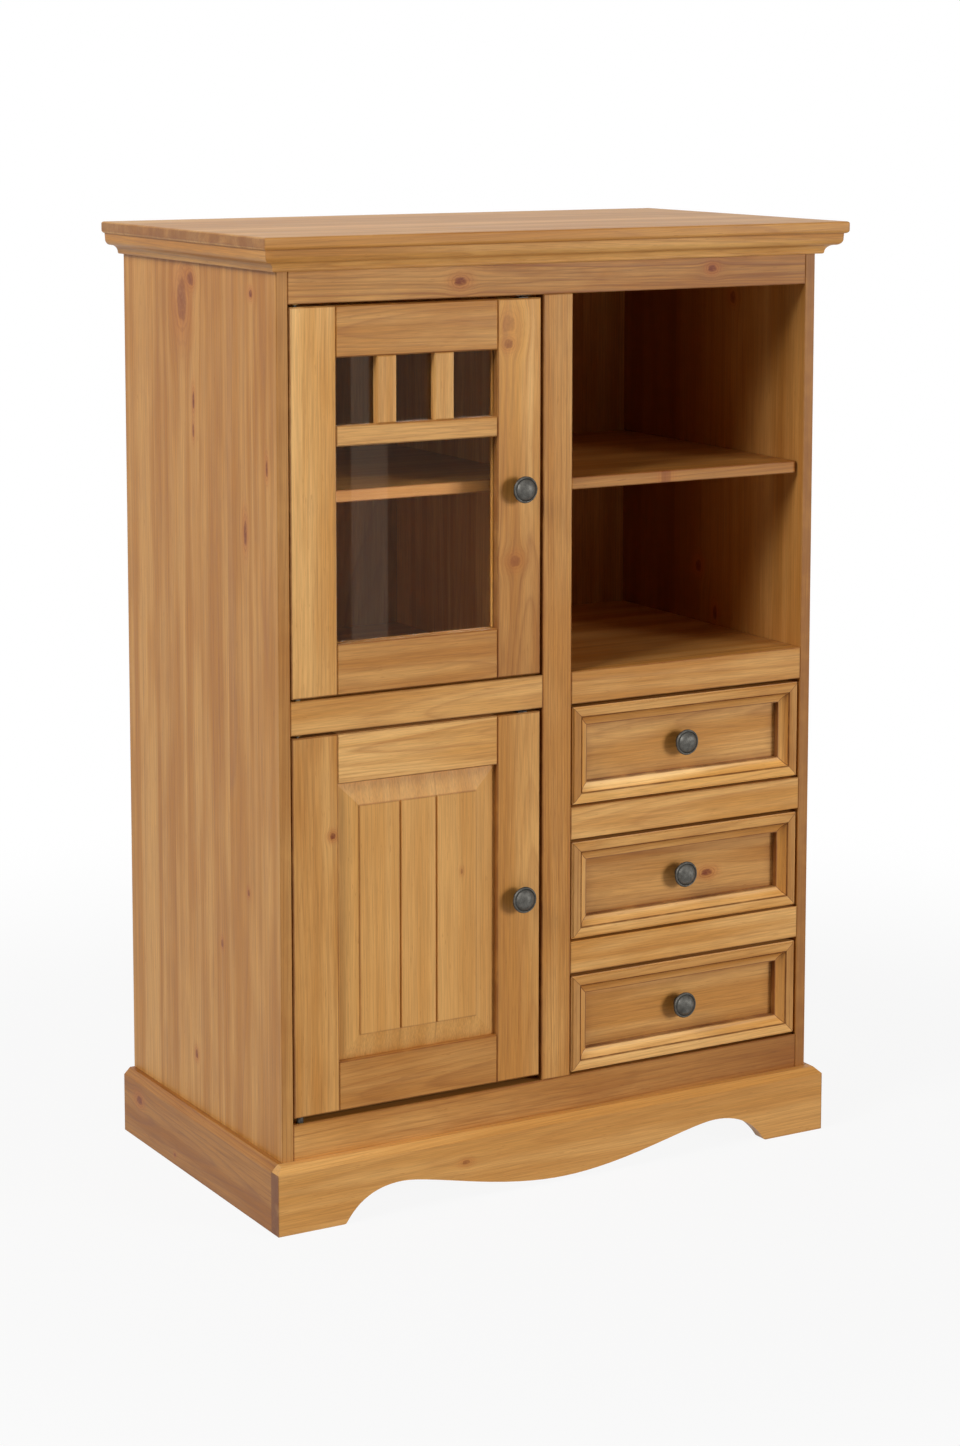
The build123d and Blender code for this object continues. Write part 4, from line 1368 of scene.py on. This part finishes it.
@dataclass
class Studio:
    """A pale floor, a white surround, soft lamps, cards that the glass mirrors, and the camera."""

    lamps: tuple[Lamp, ...] = (
        Lamp("key_right", (6.2, -9.1, 2.4), 3.6, 430.0),
        Lamp("fill_right", (6.2, -9.1, 2.4), 3.6, 330.0, gloss=False),
        Lamp("key_left", (-5.0, -1.4, 4.4), 2.4, 272.0),
        Lamp("top", (0.0, 0.2, 5.0), 2.0, 18.0),
        Lamp("rear_right", (2.4, 5.2, 1.4), 2.2, 105.0, aim=(0.2, 0.3, 0.62), gloss=False),
        Lamp("rear_left", (-1.6, 5.4, 1.4), 2.2, 85.0, aim=(-0.2, 0.3, 0.62), gloss=False),
    )
    glows: tuple[Glow, ...] = (
        Glow("grey_card", ((0.5, -3.30, -0.4), (2.4, -3.30, 1.1)), 0.24),
        Glow("bright_strip", ((1.012, -2.70, 0.0), (1.101, -2.70, 1.3)), 0.64),
    )
    ambient: float = 0.012
    floor_reach: float = 30.0
    floor_drop: float = 0.0004
    floor_grey: tuple[float, float, float, float] = (0.52, 0.52, 0.52, 1.0)
    floor_glow: float = 0.91
    floor_fade: tuple[float, float] = (0.8, 2.0)
    camera_place: Point = (-2.1517, -3.7348, 1.4694)
    camera_turn: Point = (82.760, -0.030, -30.017)
    lens: float = 79.317
    shift: float = -0.17

    def white(self, graph: Graph) -> Socket:
        """1 for a ray that sees the surround: from the camera, a gloss or a glass."""
        path = graph.add("ShaderNodeLightPath").outputs
        seen = graph.most(path["Is Camera Ray"], path["Is Glossy Ray"])
        return graph.most(seen, path["Is Transmission Ray"])

    def surround(self) -> None:
        """Makes the world white to look at and faint as a light."""
        world = bpy.data.worlds.new("surround")
        world.use_nodes = True
        world.node_tree.nodes.clear()
        graph = Graph(world.node_tree)
        strength = graph.madd(self.white(graph), 1.0 - self.ambient, self.ambient)
        backdrop = graph.add("ShaderNodeBackground", {"Color": WHITE, "Strength": strength})
        graph.show(backdrop.outputs[0], "ShaderNodeOutputWorld")
        bpy.context.scene.world = world

    def card(self, name: str, corners: tuple[Point, Point], material: bpy.types.Material) -> bpy.types.Object:
        """Makes an upright or level rectangle between two corners.

        Args:
            name: Its name.
            corners: Two opposite corners.
            material: Its material.

        Returns:
            The card.
        """
        low, high = Vector(corners[0]), Vector(corners[1])
        middle, size = (low + high) / 2, high - low
        mesh = bmesh.new()
        bmesh.ops.create_grid(mesh, x_segments=1, y_segments=1, size=0.5)
        if size.y == 0:
            turn = Vector((0, 0, 1)).rotation_difference(Vector((0, 1, 0))).to_matrix()
            bmesh.ops.rotate(mesh, verts=mesh.verts, matrix=turn)
        bmesh.ops.scale(mesh, verts=mesh.verts, vec=(size.x, size.y or 1.0, size.z or 1.0))
        bmesh.ops.translate(mesh, verts=mesh.verts, vec=middle)
        card = meshed(name, mesh)
        card.data.materials.append(material)
        return card

    def floor(self) -> None:
        """Lays a pale floor that keeps the object's shadow."""
        material, graph = open_material("pale_floor")
        matt = graph.add("ShaderNodeBsdfDiffuse", {"Color": self.floor_grey})
        glow = graph.add("ShaderNodeEmission", {"Color": WHITE, "Strength": 1.0})
        point = graph.add("ShaderNodeTexCoord").outputs["Object"]
        away = graph.slope(graph.length(point), *self.floor_fade, self.floor_glow, 1.0)
        share = graph.times(self.white(graph), away)
        inputs = {0: share, 1: matt.outputs[0], 2: glow.outputs[0]}
        graph.show(graph.add("ShaderNodeMixShader", inputs).outputs[0])
        reach, level = self.floor_reach, -self.floor_drop
        self.card("floor", ((-reach, -reach, level), (reach, reach, level)), material)

    def reflections(self) -> None:
        """Hangs the glowing cards, which only glass and glossy faces see."""
        for glow in self.glows:
            material, graph = open_material(glow.name)
            inputs = {"Color": glow.colour, "Strength": glow.strength}
            graph.show(graph.add("ShaderNodeEmission", inputs).outputs[0])
            card = self.card(glow.name, glow.corners, material)
            card.visible_camera = False
            card.visible_diffuse = False
            card.visible_shadow = False

    def camera(self) -> None:
        """Sets up the camera."""
        data = bpy.data.cameras.new("camera")
        data.sensor_width = 36.0
        data.lens = self.lens
        data.shift_y = self.shift
        data.clip_start, data.clip_end = 0.05, 200.0
        camera = placed("camera", data)
        camera.location = self.camera_place
        camera.rotation_euler = [math.radians(turn) for turn in self.camera_turn]
        bpy.context.scene.camera = camera

    def build(self) -> None:
        """Sets up the whole studio."""
        bpy.context.scene.view_settings.view_transform = "Standard"
        self.surround()
        self.floor()
        self.reflections()
        for lamp in self.lamps:
            lamp.build()
        self.camera()


def main() -> None:
    """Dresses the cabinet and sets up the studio."""
    logging.basicConfig(level=logging.INFO, format="%(name)s: %(message)s")
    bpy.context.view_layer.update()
    Carcass().build()
    GlassDoor().build()
    PanelDoor().build()
    # The top drawer's lowest moulding length is painted lighter still, as painted light.
    Drawer("top_drawer", foot=1.55).build()
    knot = Knot((0.2519, -0.1975, 0.3818), 0.0056, 0.0100)
    Drawer("middle_drawer", (knot,), Cut.RIFT, tone=0.93).build()
    Drawer("bottom_drawer", cut=Cut.RIFT, tone=1.08).build()
    Studio().build()


if __name__ == "__main__":
    main()
